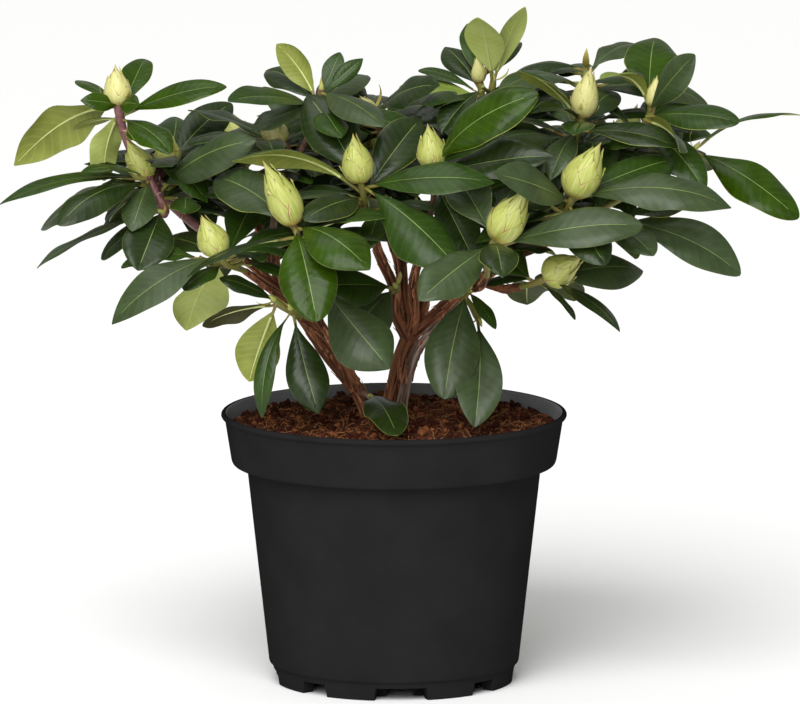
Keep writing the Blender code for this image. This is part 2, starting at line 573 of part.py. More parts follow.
def bud_solid(centre, axis, length, width):
    """A bud as a five-sided spindle from the whorl's centre along its axis."""
    along = unit(axis)
    side = unit(np.cross(along, (0.0, 1.0, 0.0)))
    across = np.cross(along, side)
    foot = np.asarray(centre, float) - along * BUD_SEAT
    vertices = []
    for share, breadth in BUD_PROFILE:
        for corner in range(BUD_SIDES):
            turn = 2 * math.pi * corner / BUD_SIDES
            spoke = side * math.cos(turn) + across * math.sin(turn)
            vertices.append(foot + along * length * share + spoke * breadth * width / 2)
    vertices.append(foot + along * length)
    faces = [tuple(range(BUD_SIDES))[::-1]]
    for ring in range(len(BUD_PROFILE) - 1):
        for corner in range(BUD_SIDES):
            a = BUD_SIDES * ring + corner
            b = BUD_SIDES * ring + (corner + 1) % BUD_SIDES
            faces.append((a, b, b + BUD_SIDES, a + BUD_SIDES))
    last = BUD_SIDES * (len(BUD_PROFILE) - 1)
    tip = last + BUD_SIDES
    faces += [(last + corner, last + (corner + 1) % BUD_SIDES, tip) for corner in range(BUD_SIDES)]
    return vertices, faces


def outward(vertices, faces):
    """Turns the faces round where they point inwards, by the sign of the volume that they close."""
    volume = 0.0
    for face in faces:
        for k in range(1, len(face) - 1):
            volume += np.dot(vertices[face[0]], np.cross(vertices[face[k]], vertices[face[k + 1]]))
    return faces if volume > 0 else [tuple(face[::-1]) for face in faces]


def box_of(vertices):
    vertices = np.asarray(vertices)
    return vertices.min(axis=0), vertices.max(axis=0)


class Room:
    """What stands already: a leaf is let in only where it touches nothing that it doesn't grow from."""

    def __init__(self):
        self.things = []

    def add(self, owner, vertices, faces, blade=None):
        whole = BVHTree.FromPolygons(vertices, faces)
        part = BVHTree.FromPolygons(*blade) if blade else whole
        self.things.append((owner, box_of(vertices), whole, part))

    def add_object(self, owner, obj):
        vertices = [vertex.co / MM for vertex in obj.data.vertices]
        self.add(owner, vertices, [tuple(face.vertices) for face in obj.data.polygons])

    def is_free(self, owner, whole, blade):
        low, high = box_of(whole[0])
        whole_tree = BVHTree.FromPolygons(*whole)
        blade_tree = BVHTree.FromPolygons(*blade)
        for other, (other_low, other_high), other_whole, other_part in self.things:
            if (other_low > high).any() or (other_high < low).any():
                continue
            if other == owner:
                if blade_tree.overlap(other_part):
                    return False
            elif whole_tree.overlap(other_whole):
                return False
        return True


def settle(room, owner, item, foot):
    """Turns a leaf by small steps until it stands free, adds it to the room, or gives up."""
    for turn, lift in NUDGES:
        tried = dict(item, bearing=item["bearing"] + turn, rise=item["rise"] + lift)
        whole = leaf_solid(tried, foot, swell=SPACE)
        blade = leaf_solid(tried, foot, swell=SPACE, first=BLADE_START)
        if room.is_free(owner, whole, blade):
            room.add(owner, *leaf_solid(tried, foot), blade=leaf_solid(tried, foot, first=BLADE_START))
            return tried
    return None


def rule_leaves(place, seed):
    """The leaves that the rule adds: bearings by the golden section of the arc, the rest drawn by seed."""
    draw = random.Random(seed)
    start, sweep, count = place["fill"]
    for turn in range(count):
        length = draw.uniform(*FILL_LENGTH)
        yield leaf(start + sweep * ((FILL_START + turn * GOLDEN_PART) % 1.0), draw.uniform(*FILL_RISE),
                   length, length * FILL_WIDTH, draw.uniform(*FILL_FACE), draw.uniform(*FILL_ARCH))


def grow_leaves(room):
    """Settles the leaves placed by hand in every mass first, and then the rule's own."""
    grown = {name: [] for name in MASSES}
    lost = []
    for by_rule in (False, True):
        seed = 0
        for name, (_, _, whorls) in MASSES.items():
            for place, line in zip(whorls, mass_lines(name)):
                seed += 1
                items = list(rule_leaves(place, seed)) if by_rule else place["leaves"]
                first = len(place["leaves"]) if by_rule else 0
                for number, item in enumerate(items):
                    foot = leaf_foot(line, first + number)
                    settled = settle(room, name, item, foot)
                    if settled:
                        grown[name].append((foot, settled))
                    else:
                        lost.append((name, round(item["bearing"]), by_rule))
    print("leaves", sum(len(items) for items in grown.values()), "skipped", lost)
    return grown


def build_mass_wood(name, swollen, collection, room):
    """The stem, twigs and buds of a mass, the stem cut clear of the limb that carries it."""
    limb, _, whorls = MASSES[name]
    _, limb_radii = limb_line(limb)
    pieces = []
    for number, line in enumerate(mass_lines(name)):
        foot = min(TWIG_FOOT_RADIUS, 0.88 * limb_radii[-1]) if number == 0 else TWIG_TIP_RADIUS + 0.1
        radii = np.linspace(foot, TWIG_TIP_RADIUS, len(line))
        piece = tube(name if number == 0 else f"{name}_twig_{number}", line, radii, collection, resolution=0)
        if number == 0:
            piece = cut_clear(piece, [swollen[limb]], collection)
            largest_shell(piece)
        room.add_object(name, piece)
        pieces.append(piece)
    for number, place in enumerate(whorls):
        length, width = place["bud"]
        if length:
            vertices, faces = bud_solid(place["centre"], place["axis"], length, width)
            faces = outward(vertices, faces)
            room.add(name, vertices, faces)
            pieces.append(mesh_object(f"{name}_bud_{number}", vertices, faces, collection))
    return pieces


def largest_shell(obj):
    """Keeps an object's largest shell, and so fills sealed hollows and drops loose scraps."""
    shape = bmesh.new()
    shape.from_mesh(obj.data)
    left = set(shape.verts)
    shells = []
    while left:
        shell = set()
        reached = [left.pop()]
        while reached:
            vertex = reached.pop()
            shell.add(vertex)
            for edge in vertex.link_edges:
                other = edge.other_vert(vertex)
                if other in left:
                    left.discard(other)
                    reached.append(other)
        shells.append(shell)
    shells.sort(key=len)
    for shell in shells[:-1]:
        bmesh.ops.delete(shape, geom=list(shell), context="VERTS")
    bmesh.ops.triangulate(shape, faces=shape.faces)
    shape.to_mesh(obj.data)
    shape.free()
    return len(shells)


def join_mass(name, pieces, grown, collection):
    """Joins a mass's wood, buds and leaves by one Boolean union on a collection of them."""
    stem = pieces[0]
    others = new_collection(name + "_pieces")
    for piece in pieces[1:]:
        others.objects.link(piece)
        collection.objects.unlink(piece)
    for count, (foot, item) in enumerate(grown):
        vertices, faces = leaf_solid(item, foot)
        mesh_object(f"{name}_leaf_{count}", vertices, outward(vertices, faces), others)
    union = stem.modifiers.new("union", "BOOLEAN")
    union.operation = "UNION"
    union.operand_type = "COLLECTION"
    union.collection = others
    result = applied(stem, collection)
    for obj in list(others.objects):
        bpy.data.objects.remove(obj, do_unlink=True)
    bpy.data.collections.remove(others)
    shells = largest_shell(result)
    result.name = name
    finish(result, "foliage")
    print(name, "leaves", len(grown), "shells", shells, "faces", len(result.data.polygons))
    return result


def main():
    clear_scene()
    plant = new_collection("potted_rhododendron")
    helpers = new_collection("helpers")
    room = Room()
    pot = build_pot(plant, helpers)
    soil = build_soil(plant)
    for obj in (pot, soil):
        room.add_object(obj.name, obj)
    limbs, swollen = build_limbs(plant, helpers)
    for name, limb in limbs.items():
        room.add_object(name, limb)
    wood = {name: build_mass_wood(name, swollen, plant, room) for name in MASSES}
    grown = grow_leaves(room)
    for name in MASSES:
        join_mass(name, wood[name], grown[name], plant)
    for copy in swollen.values():
        bpy.data.objects.remove(copy, do_unlink=True)


main()
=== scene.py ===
# %% [markdown]
# # A potted rhododendron in bud
#
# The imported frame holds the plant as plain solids: a pot, its soil, the stems and boughs, and 21 masses
# of foliage. This lesson keeps their sizes and places, apart from those of seven leaves, and gives each
# one its real surface: a smooth moulded pot, loose peat, peeling bark, leathery leaves with their midribs,
# and flower buds made of overlapping scales. It also adds finer twigs with small leaves inside the crown.

# %% Load the frame
import math
import random

import bpy
import numpy as np
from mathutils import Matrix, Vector
from mathutils.kdtree import KDTree


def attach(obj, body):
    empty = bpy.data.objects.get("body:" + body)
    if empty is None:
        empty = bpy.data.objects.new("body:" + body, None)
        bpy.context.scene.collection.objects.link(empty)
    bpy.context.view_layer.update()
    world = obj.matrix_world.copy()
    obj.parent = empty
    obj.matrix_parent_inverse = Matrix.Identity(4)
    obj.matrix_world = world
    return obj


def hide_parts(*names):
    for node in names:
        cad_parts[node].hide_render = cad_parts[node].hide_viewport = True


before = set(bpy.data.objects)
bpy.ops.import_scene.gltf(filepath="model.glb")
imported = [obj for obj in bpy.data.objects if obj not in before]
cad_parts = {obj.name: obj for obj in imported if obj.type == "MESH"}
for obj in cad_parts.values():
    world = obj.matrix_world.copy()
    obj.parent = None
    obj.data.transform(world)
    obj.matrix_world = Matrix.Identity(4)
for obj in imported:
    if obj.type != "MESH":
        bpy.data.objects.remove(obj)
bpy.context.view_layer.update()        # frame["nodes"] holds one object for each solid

MM = 0.001

# %% [markdown]
# ## Camera, light and floor
#
# The photograph was taken from far away with a long lens, a little above the rim, so lines stay nearly
# parallel. The studio light is soft and comes mostly from above the camera: one broad key light, a dim
# sky all round that leaves the inside of the crown dark, and two lamps, above and in front, for the sheen
# on the leaves. The floor is pale and plain.

# %% Camera, light and floor
CAMERA_PLACE = Vector((0.004, -8.0, 1.552))
CAMERA_AIM = Vector((0.004, 0.0, 0.2205))
CAMERA_REACH = 100.0
LENS_MM = 550
SENSOR_MM = 36.0
SKY_COLOUR = "#fbfbf8"
SKY_STRENGTH = 0.38
LAMP_AIM = Vector((0, 0, 0.3))
LAMPS = (                # name, kind, place, strength, and a side in metres or a sun's spread in degrees
    ("key_light", "SUN", (-0.4, -2.0, 2.5), 2.8, 45),
    ("lamp_above", "AREA", (-0.4, 0.1, 1.9), 5, 0.9),
    ("lamp_front", "AREA", (-0.5, -2.2, 0.9), 18, 1.0))


def hex_to_linear(colour):
    """A screen colour, as #rrggbb, in the linear values that shaders take."""
    parts = [int(colour[i:i + 2], 16) / 255 for i in (1, 3, 5)]
    return tuple(p / 12.92 if p <= 0.04045 else ((p + 0.055) / 1.055) ** 2.4 for p in parts) + (1.0,)


def add_object(name, data):
    """Puts a mesh, a lamp or a camera in the scene."""
    obj = bpy.data.objects.new(name, data)
    bpy.context.scene.collection.objects.link(obj)
    return obj


def aim(obj, place, target):
    """Puts a camera or a lamp in its place and turns it to a point."""
    obj.location = place
    obj.rotation_euler = (target - Vector(place)).to_track_quat("-Z", "Y").to_euler()


camera = add_object("camera", bpy.data.cameras.new("camera"))
aim(camera, CAMERA_PLACE, CAMERA_AIM)
camera.data.lens = LENS_MM
camera.data.sensor_width = SENSOR_MM
camera.data.clip_end = CAMERA_REACH
bpy.context.scene.camera = camera
bpy.context.scene.view_settings.view_transform = "Standard"
sky = bpy.data.worlds.new("studio")
sky.use_nodes = True
background = sky.node_tree.nodes["Background"]
background.inputs["Color"].default_value = hex_to_linear(SKY_COLOUR)
background.inputs["Strength"].default_value = SKY_STRENGTH
bpy.context.scene.world = sky
for name, kind, place, strength, size in LAMPS:
    lamp = bpy.data.lights.new(name, kind)
    lamp.energy = strength
    if kind == "AREA":
        lamp.size = size
    else:
        lamp.angle = math.radians(size)
    aim(add_object(name, lamp), place, LAMP_AIM)
print("camera", round((CAMERA_PLACE - CAMERA_AIM).length, 2), "m away,", len(bpy.data.lights), "lamps")

# %% [markdown]
# ## Meshes from arrays
#
# Almost everything on a plant is a section carried along a line: a twig, a leaf, a stalk, a bud scale and
# the pot itself. So one function closes a grid of sections into a solid, and another joins many such
# solids into one mesh. A Screw or a bevelled curve would do for the pot or a twig, but a grid lets each
# point have its own relief.

# %% Meshes: solids and pieces
def unit(vectors):
    """Vectors brought to length one, along their last axis."""
    vectors = np.asarray(vectors, float)
    return vectors / np.linalg.norm(vectors, axis=-1, keepdims=True)


def loft(sections, looks=0):
    """Closes a grid of sections, rows by columns by 3, into a solid whose columns run round.

    Quads join each point to the next one round and to the next row, and one face caps each end. The faces
    are turned outwards by the sign of the volume. looks is a material's number, for all quads or for each.
    """
    rows, columns = sections.shape[:2]
    points = sections.reshape(-1, 3)
    row, column = np.meshgrid(np.arange(rows - 1), np.arange(columns), indexing="ij")
    after = (column + 1) % columns
    quads = np.stack([row * columns + column, row * columns + after,
                      (row + 1) * columns + after, (row + 1) * columns + column], axis=-1).reshape(-1, 4)
    caps = np.array([np.arange(columns)[::-1], (rows - 1) * columns + np.arange(columns)])
    a, b, c, d = (points[quads[:, k]] - points[0] for k in range(4))
    volume = np.einsum("ij,ij->", a, np.cross(b, c)) + np.einsum("ij,ij->", a, np.cross(c, d))
    if volume < 0:
        quads = quads[:, ::-1]
        caps = caps[:, ::-1]
    looks = np.broadcast_to(looks, (rows - 1, columns))
    return points, [quads, caps], [looks.ravel(), looks[[0, -1], 0]]


def make_piece(name, parts, materials, crease=40.0, uv=None, grain=None):
    """One mesh piece from many parts in millimetres, each of them points, lists of faces and their looks.

    uv and grain give every point a place in the leaf's or the bark's own pattern.
    """
    points, faces, looks, first = [], [], [], 0
    for part_points, part_faces, part_looks in parts:
        points.append(part_points)
        for some_faces, some_looks in zip(part_faces, part_looks):
            faces.extend((some_faces + first).tolist())
            looks.append(some_looks)
        first += len(part_points)
    mesh = bpy.data.meshes.new(name)
    mesh.from_pydata((np.vstack(points) * MM).tolist(), [], faces)
    mesh.polygons.foreach_set("material_index", np.concatenate(looks).astype(np.int32))
    mesh.polygons.foreach_set("use_smooth", np.ones(len(faces), bool))
    mesh.set_sharp_from_angle(angle=math.radians(crease))
    if uv is not None:
        corners = np.empty(len(mesh.loops), np.int32)
        mesh.loops.foreach_get("vertex_index", corners)
        mesh.uv_layers.new(name="UVMap").data.foreach_set("uv", uv[corners].astype(np.float32).ravel())
    if grain is not None:
        mesh.attributes.new("grain", "FLOAT_VECTOR", "POINT").data.foreach_set(
            "vector", grain.astype(np.float32).ravel())
    for material in materials:
        mesh.materials.append(material)
    obj = add_object(name, mesh)
    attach(obj, "root")
    triangles = sum(len(polygon.vertices) - 2 for polygon in mesh.polygons)
    print(f"{name}: {len(parts)} parts, {triangles} triangles")
    return obj


print("a cube's worth of faces:", sum(len(group) for group in loft(np.zeros((2, 4, 3)))[1]))

# %% Meshes: lines, tubes and waves
WAVE_SPREAD = (0.7, 1.5)     # the lengths in a sum of waves, as shares of the one asked for


def length_along(line):
    """The length of a line up to each of its points."""
    return np.concatenate([[0.0], np.cumsum(np.linalg.norm(np.diff(line, axis=0), axis=1))])


def frames_along(line):
    """At each point of a line, its direction and two directions square to it that don't turn round it."""
    ahead = unit(np.gradient(line, axis=0))
    fixed = np.eye(3)[np.argmin(np.abs(ahead.mean(axis=0)))]
    across = unit(fixed - (ahead @ fixed)[:, None] * ahead)
    return ahead, across, np.cross(ahead, across)


def turns_round(sides):
    """Even turns once round."""
    return np.arange(sides) * math.tau / sides


def spokes(across, beside, turn):
    """The directions at some turns round a line: across * cos(turn) + beside * sin(turn)."""
    return across * np.cos(turn)[..., None] + beside * np.sin(turn)[..., None]


def tube_sections(line, radii, sides):
    """Round sections along a line: line + radius * spoke.

    radii holds one radius for each point of the line, or one for each point and turn.
    """
    _, across, beside = frames_along(line)
    radii = np.broadcast_to(np.asarray(radii).reshape(len(line), -1), (len(line), sides))
    return line[:, None] + radii[..., None] * spokes(across[:, None], beside[:, None], turns_round(sides))


def waves(places, wavelength, seed, count=20):
    """Smooth random heights of about -1 to 1: a sum of sine waves of near one wavelength, all ways."""
    draw = np.random.default_rng(seed)
    headings = unit(draw.normal(size=(count, places.shape[-1])))
    lengths = wavelength * draw.uniform(*WAVE_SPREAD, count)
    phases = draw.uniform(0, math.tau, count)
    return np.sin(math.tau * (places @ headings.T) / lengths + phases).sum(axis=-1) / math.sqrt(2 * count)


print("round a line, in steps of a quarter:", turns_round(4).round(2))

# %% [markdown]
# ## Materials
#
# Each finish is a Principled shader. What is the same all over sits on the shader's own sockets, and what
# varies comes from procedural patterns whose scale is worked out from a size in millimetres. Patterns
# that must follow the surface, such as bark strips and leaf veins, read a coordinate that the mesh
# carries along.

# %% Materials: helpers
PATCH_EDGES = (0.35, 0.65)   # the part of a noise over which one colour fades into another


def new_finish(name, colour, roughness, **sockets):
    """A material and its shader. A socket's name is written with underscores for its spaces."""
    material = bpy.data.materials.new(name)
    material.use_nodes = True
    shader = material.node_tree.nodes["Principled BSDF"]
    shader.inputs["Base Color"].default_value = hex_to_linear(colour)
    shader.inputs["Roughness"].default_value = roughness
    for socket, value in sockets.items():
        shader.inputs[socket.replace("_", " ")].default_value = value
    return material, shader


def add_node(material, kind, inputs, **settings):
    """Adds a node: inputs maps a socket's name or number to a value or to another node's output."""
    tree = material.node_tree
    node = tree.nodes.new("ShaderNode" + kind)
    for setting, value in settings.items():
        setattr(node, setting, value)
    for socket, value in inputs.items():
        if isinstance(value, bpy.types.NodeSocket):
            tree.links.new(value, node.inputs[socket])
        else:
            node.inputs[socket].default_value = value
    return node


def object_place(material):
    """Each point's place on the plant, in metres."""
    return add_node(material, "TexCoord", {}).outputs["Object"]


def noise(material, vector, size_mm, detail=3.0, distortion=0.0):
    """Lumps of 0 to 1, about as large as the size given. At 1000 mm they take one unit of the vector."""
    return add_node(material, "TexNoise", {"Vector": vector, "Scale": 1.0 / (size_mm * MM),
                                           "Detail": detail, "Distortion": distortion}).outputs["Fac"]


def ramp(material, value, low, high, start=0.0, end=1.0):
    """Maps a value from low and high to start and end, and clamps it there."""
    return add_node(material, "MapRange", {"Value": value, "From Min": low, "From Max": high,
                                           "To Min": start, "To Max": end}).outputs[0]


def blend(material, share, first, second):
    """Mixes two colours, each written in hex or another node's output, by a share of 0 to 1."""
    first, second = (hex_to_linear(colour) if isinstance(colour, str) else colour
                     for colour in (first, second))
    return add_node(material, "Mix", {0: share, 6: first, 7: second}, data_type="RGBA").outputs[2]


def patches(material, vector, size_mm, colours, edges=PATCH_EDGES):
    """Patches of two colours with soft edges, about the size given."""
    return blend(material, ramp(material, noise(material, vector, size_mm), *edges), *colours)


def feed(material, shader, output, socket="Base Color"):
    """Links a node's output to a socket of the shader."""
    material.node_tree.links.new(output, shader.inputs[socket])


def raise_by(material, shader, height, depth_mm, strength=1.0):
    """A bump of a depth in millimetres from a height of 0 to 1."""
    bump = add_node(material, "Bump", {"Height": height, "Distance": depth_mm * MM, "Strength": strength})
    feed(material, shader, bump.outputs["Normal"], "Normal")


print("red of #ff8000 in linear light:", hex_to_linear("#ff8000")[0])

# %% [markdown]
# ### Pot, soil and bark
#
# The pot is polypropylene, injection moulded and filled with carbon black: matt, with a faint
# orange-peel skin. Its inside is the same plastic painted a pale grey, which is painted light on the
# inner wall. Peat compost is loose brown fibre that reflects almost nothing. The bark is thin and peels
# in long strips: dark red-brown where a strip has just come off, greyer where it is old.

# %% Pot, soil and bark
PEEL_MM = 0.9            # the orange-peel skin, drawn coarser than the real 0.3 mm so that it shows
PEEL_DEPTH = 0.02
SMEAR_MM = 35
SMEAR_EDGES = (0.3, 0.7)
SMEAR_GLOSS = (-0.06, 0.08)  # how far the smears change the roughness
GRIT_MM = 0.9
GRIT_DEPTH = 0.5
STRIP_MM = 1.6           # width of a strip of bark
STRIP_STRETCH = 0.09     # a strip is this much shorter in the pattern than along the limb
STRIP_DEPTH = 0.5
CRACK_EDGES = (0.47, 0.34)   # below this part of the strips' noise lies a crack


def moulded_polypropylene(name, colours, roughness, level):
    """Plastic with an orange-peel skin, and smears that change its colour and its gloss a little."""
    material, shader = new_finish(name, colours[0], roughness, Specular_IOR_Level=level)
    place = object_place(material)
    raise_by(material, shader, noise(material, place, PEEL_MM, 1.0), PEEL_DEPTH, 0.35)
    smears = noise(material, place, SMEAR_MM, 4.0)
    feed(material, shader, blend(material, ramp(material, smears, *SMEAR_EDGES), *colours))
    gloss = [roughness + change for change in SMEAR_GLOSS]
    feed(material, shader, ramp(material, smears, *SMEAR_EDGES, *gloss), "Roughness")
    return material


def peat(name, colours, size_mm):
    """Loose fibre in patches of two browns, with a gritty relief."""
    material, shader = new_finish(name, colours[0], 0.95, Specular_IOR_Level=0.12)
    place = object_place(material)
    feed(material, shader, patches(material, place, size_mm, colours))
    raise_by(material, shader, noise(material, place, GRIT_MM), GRIT_DEPTH)
    return material


def peeling_bark(name, colours, crack):
    """Bark whose strips run along the limb: noise on the grain coordinate, which is squeezed lengthwise."""
    material, shader = new_finish(name, colours[0], 0.8, Specular_IOR_Level=0.25)
    grain = add_node(material, "Attribute", {}, attribute_name="grain").outputs["Vector"]
    body = patches(material, grain, 2.2 * STRIP_MM, colours, (0.38, 0.62))
    strips = noise(material, grain, STRIP_MM, 5.0, 0.6)
    feed(material, shader, blend(material, ramp(material, strips, *CRACK_EDGES), body, crack))
    raise_by(material, shader, strips, STRIP_DEPTH, 0.9)
    return material


pot_plastic = moulded_polypropylene("black_polypropylene", ("#1f1e1f", "#232223"), 0.55, 0.0)
# The inside: the same black plastic painted pale grey, as painted light on the inner wall
pot_inside_painted_light = moulded_polypropylene("polypropylene_painted_light_inside", ("#6c6e71", "#838588"), 0.6, 0.2)
soil_peat = peat("peat", ("#2c150c", "#593220"), 4.0)
crumb_dark = peat("peat_crumb_dark", ("#28110a", "#451d10"), 3.0)
crumb_red = peat("peat_crumb_red", ("#5c3020", "#80502f"), 3.0)
fibre_tan = peat("peat_fibre", ("#a07047", "#66391f"), 6.0)
bark_brown = peeling_bark("bark_red_brown", ("#5a3422", "#986343"), "#1f100a")
bark_grey = peeling_bark("bark_grey_brown", ("#5d4638", "#a8948a"), "#2c201b")
bark_strip = peeling_bark("bark_loose_strip", ("#95593a", "#bd8560"), "#5a3020")
print("finishes so far:", len(bpy.data.materials))

# %% [markdown]
# ### Leaves, shoots and buds
#
# A rhododendron leaf is thick and leathery. Its upper side has a waxy cuticle that mirrors the studio as
# a broad grey sheen, over a deep green; its underside is matt and much paler. The tints are plain
# colours dealt out leaf by leaf, and some are painted light and shade: a grey top tint paints part of the
# sheen, a dark olive underside paints the shade inside the crown, and a pale one paints light where it
# falls. The fine side veins follow the leaf's own coordinate. A bud's scales are smooth: yellow-orange at
# their foot, brown at their tips, with fine green streaks.

# %% Leaves, shoots and buds
WAVE_TURNS = 0.314       # the wave texture's scale at which one band is one unit long
VEIN_EDGES = (0.8, 1.0)
VEIN_RELIEF = 0.4        # how strongly veins lift the surface, beside the grain of the leather
TINT_MM = 14
LEATHER_MM = 3.2
STREAK_STRETCH = (14.0, 2.2, 1.0)
ONE_UNIT = 1000          # a noise of this size has lumps of one unit
BUD_FOOT = (0.16, 0.0)   # the foot's colour comes in over this part of a bud
BUD_TIP = (0.82, 1.04)   # and the tip's colour over this one


def leaf_side(name, colours, vein_colour, vein_share, roughness, depth_mm, coat=0.0, level=0.4):
    """One side of a leaf: its veins are bands across the coordinate that runs along it, once a vein."""
    material, shader = new_finish(name, colours[0], roughness, Specular_IOR_Level=level,
                                  Coat_Weight=coat, Coat_Roughness=0.2)
    along = add_node(material, "UVMap", {}).outputs["UV"]
    place = object_place(material)
    veins = add_node(material, "TexWave", {"Vector": along, "Scale": WAVE_TURNS, "Distortion": 2.4,
                                           "Detail": 2.0, "Detail Scale": 2.0}, bands_direction="Y")
    share = ramp(material, veins.outputs["Fac"], *VEIN_EDGES, 0.0, vein_share)
    feed(material, shader, blend(material, share, patches(material, place, TINT_MM, colours), vein_colour))
    height = add_node(material, "Math", {0: veins.outputs["Fac"], 1: VEIN_RELIEF,
                                         2: noise(material, place, LEATHER_MM)}, operation="MULTIPLY_ADD")
    raise_by(material, shader, height.outputs[0], depth_mm, 0.5)
    return material


def plain_skin(name, colours, size_mm, roughness):
    """A smooth skin in patches of two colours."""
    material, shader = new_finish(name, colours[0], roughness)
    feed(material, shader, patches(material, object_place(material), size_mm, colours))
    return material


def bud_skin(name, colours, foot, tip):
    """A bud scale: streaks along it, and other colours at the bud's foot and tip, by the share along it."""
    material, shader = new_finish(name, colours[0], 0.42, Coat_Weight=0.1, Coat_Roughness=0.3)
    uv = add_node(material, "UVMap", {}).outputs["UV"]
    stretched = add_node(material, "Mapping", {"Vector": uv, "Scale": STREAK_STRETCH}).outputs[0]
    streaks = noise(material, stretched, ONE_UNIT)
    body = blend(material, ramp(material, streaks, *PATCH_EDGES), *colours)
    share = add_node(material, "SeparateXYZ", {"Vector": uv}).outputs["Y"]
    body = blend(material, ramp(material, share, *BUD_FOOT), body, foot)
    feed(material, shader, blend(material, ramp(material, share, *BUD_TIP, 0.0, 0.8), body, tip))
    raise_by(material, shader, streaks, 0.25, 0.6)
    return material


# Each side of a leaf: name, two tints, veins' colour and share, roughness, relief in mm, coat, reflection
LEAF_FINISHES = {
    "deep": leaf_side("leaf_top_deep", ("#1a270c", "#22310f"), "#314a1c", 0.2, 0.32, 0.3, 0.05, 0.26),
    "green": leaf_side("leaf_top_green", ("#22350c", "#293f11"), "#3f5a20", 0.2, 0.32, 0.3, 0.03, 0.2),
    # Grey top: greyer tints that paint part of the sheen, beside its real, higher reflection
    "grey": leaf_side("leaf_top_grey_painted_sheen", ("#2c3a1c", "#364626"), "#475834", 0.2, 0.4, 0.3, 0.06, 0.3),
    "bright": leaf_side("leaf_top_glossy", ("#233602", "#2c4404"), "#38560e", 0.25, 0.25, 0.34, 0.0, 0.18),
    "young": leaf_side("leaf_top_young", ("#66772a", "#768836"), "#869640", 0.3, 0.45, 0.12),
    # Painted shade: the underside's colour darkened, for undersides inside the shaded crown
    "dull": leaf_side("leaf_underside_dull", ("#39441a", "#475323"), "#536029", 0.4, 0.6, 0.15),
    "olive": leaf_side("leaf_underside_olive", ("#757d31", "#848c3c"), "#929b48", 0.4, 0.6, 0.15),
    # Painted light: the underside's colour lightened, for undersides that the light falls on
    "pale": leaf_side("leaf_underside_painted_light", ("#a3af5a", "#b0ba6a"), "#b9c377", 0.4, 0.6, 0.15),
    "brown": leaf_side("leaf_underside_brown", ("#343411", "#3f3d18"), "#4a4922", 0.4, 0.6, 0.15),
    "midrib": leaf_side("leaf_midrib_line", ("#647a38", "#758947"), "#758947", 0.0, 0.5, 0.05),
}
LEAF_LOOKS = {name: number for number, name in enumerate(LEAF_FINISHES)}
rib_pale = plain_skin("leaf_rib", ("#b2bb6f", "#c3ca88"), 12, 0.5)
stalk_green = plain_skin("leaf_stalk", ("#7c8438", "#7d6637"), 7, 0.5)
shoot_green = plain_skin("green_shoot", ("#66702a", "#7d6a34"), 5, 0.55)
shoot_brown = plain_skin("brown_shoot", ("#5a3b2c", "#7a5f4b"), 3, 0.65)
shoot_purple = plain_skin("purple_shoot", ("#5a3036", "#7e5550"), 3, 0.5)
leaf_scar = plain_skin("leaf_scar", ("#c2a58c", "#a3826c"), 2, 0.7)
bud_green = bud_skin("bud_scale_green", ("#8f9b38", "#bfbf70"), "#a98637", "#a07850")
bud_pale = bud_skin("bud_scale_pale", ("#b9b768", "#cdc98a"), "#bb9441", "#a9825e")
bud_edge = plain_skin("bud_scale_edge", ("#a3765a", "#8f5a44"), 3, 0.6)
bract_skin = plain_skin("bract", ("#9fa548", "#a88c48"), 4, 0.55)
print("finishes in all:", len(bpy.data.materials))

# %% [markdown]
# ## The pot
#
# One profile turned round the axis: the inside of the wall, the rolled lip, the wide upper band, the
# tapered body and the foot. The corners are rounded first. The foot ring is then lifted off the ground at
# eight drainage notches, wide and narrow in turn, by raising the points between two bearings. Two small
# upright tabs stand inside each wide notch.

# %% The pot
POT_COLUMNS = 216
POT_STEP = 9.0           # longest step along the profile
POT_PROFILE = [          # radius, height, size of the rounding
    (0.5, 11, 0), (80.5, 11, 3), (95.9, 147.6, 1), (105.9, 149.2, 3), (110.3, 175.6, 2), (111.1, 180.1, 0.8),
    (112.6, 181, 0.8), (114.1, 180.4, 0.6), (115, 178.8, 0.8), (114.3, 177.2, 0.8), (112.4, 176.4, 1.0),
    (108.1, 149, 1.6), (107.2, 146.7, 1.0), (105.1, 146, 1.0), (97.9, 146, 1.2), (83.1, 13, 1.2),
    (81.0, 11.4, 0.8), (79.4, 0, 0.7), (71, 0, 0.7), (70.4, 8.4, 0.6), (28.6, 8.4, 0.5), (28, 0, 0.5),
    (0.5, 0, 0)]
PAINTED_LIGHT_STOP = 3            # where the pale grey of painted light on the inside stops, this many points before the top of the lip
FOOT_RADIUS = 79.4
FOOT_BAND = (69, 84)     # the notches lift only points between these radii
FIRST_NOTCH = -86.5
NOTCHES = [(FIRST_NOTCH + 45 * number, 36.0 if number % 2 == 0 else 21.0) for number in range(8)]
NOTCH_TOP = 8.4
NOTCH_RAMP = 1.2         # how far the side of a notch leans, in millimetres
NOTCH_SHARES = (-0.1, 0.0, 0.5, 1.0, 1.1)    # where the grid needs a column on that lean
TAB_BEARINGS = [FIRST_NOTCH + 90 * number + side * 12.5 for number in range(4) for side in (-1, 1)]
TAB_ARC = 11.0 / 64      # width over radius
TAB_RADII = (65.6, 63.8)
TAB_ROWS = ((8.6, 1.0), (3.0, 1.0), (1.2, 0.93), (0.8, 0.85))    # height, share of the width
TAB_COLUMNS = 7


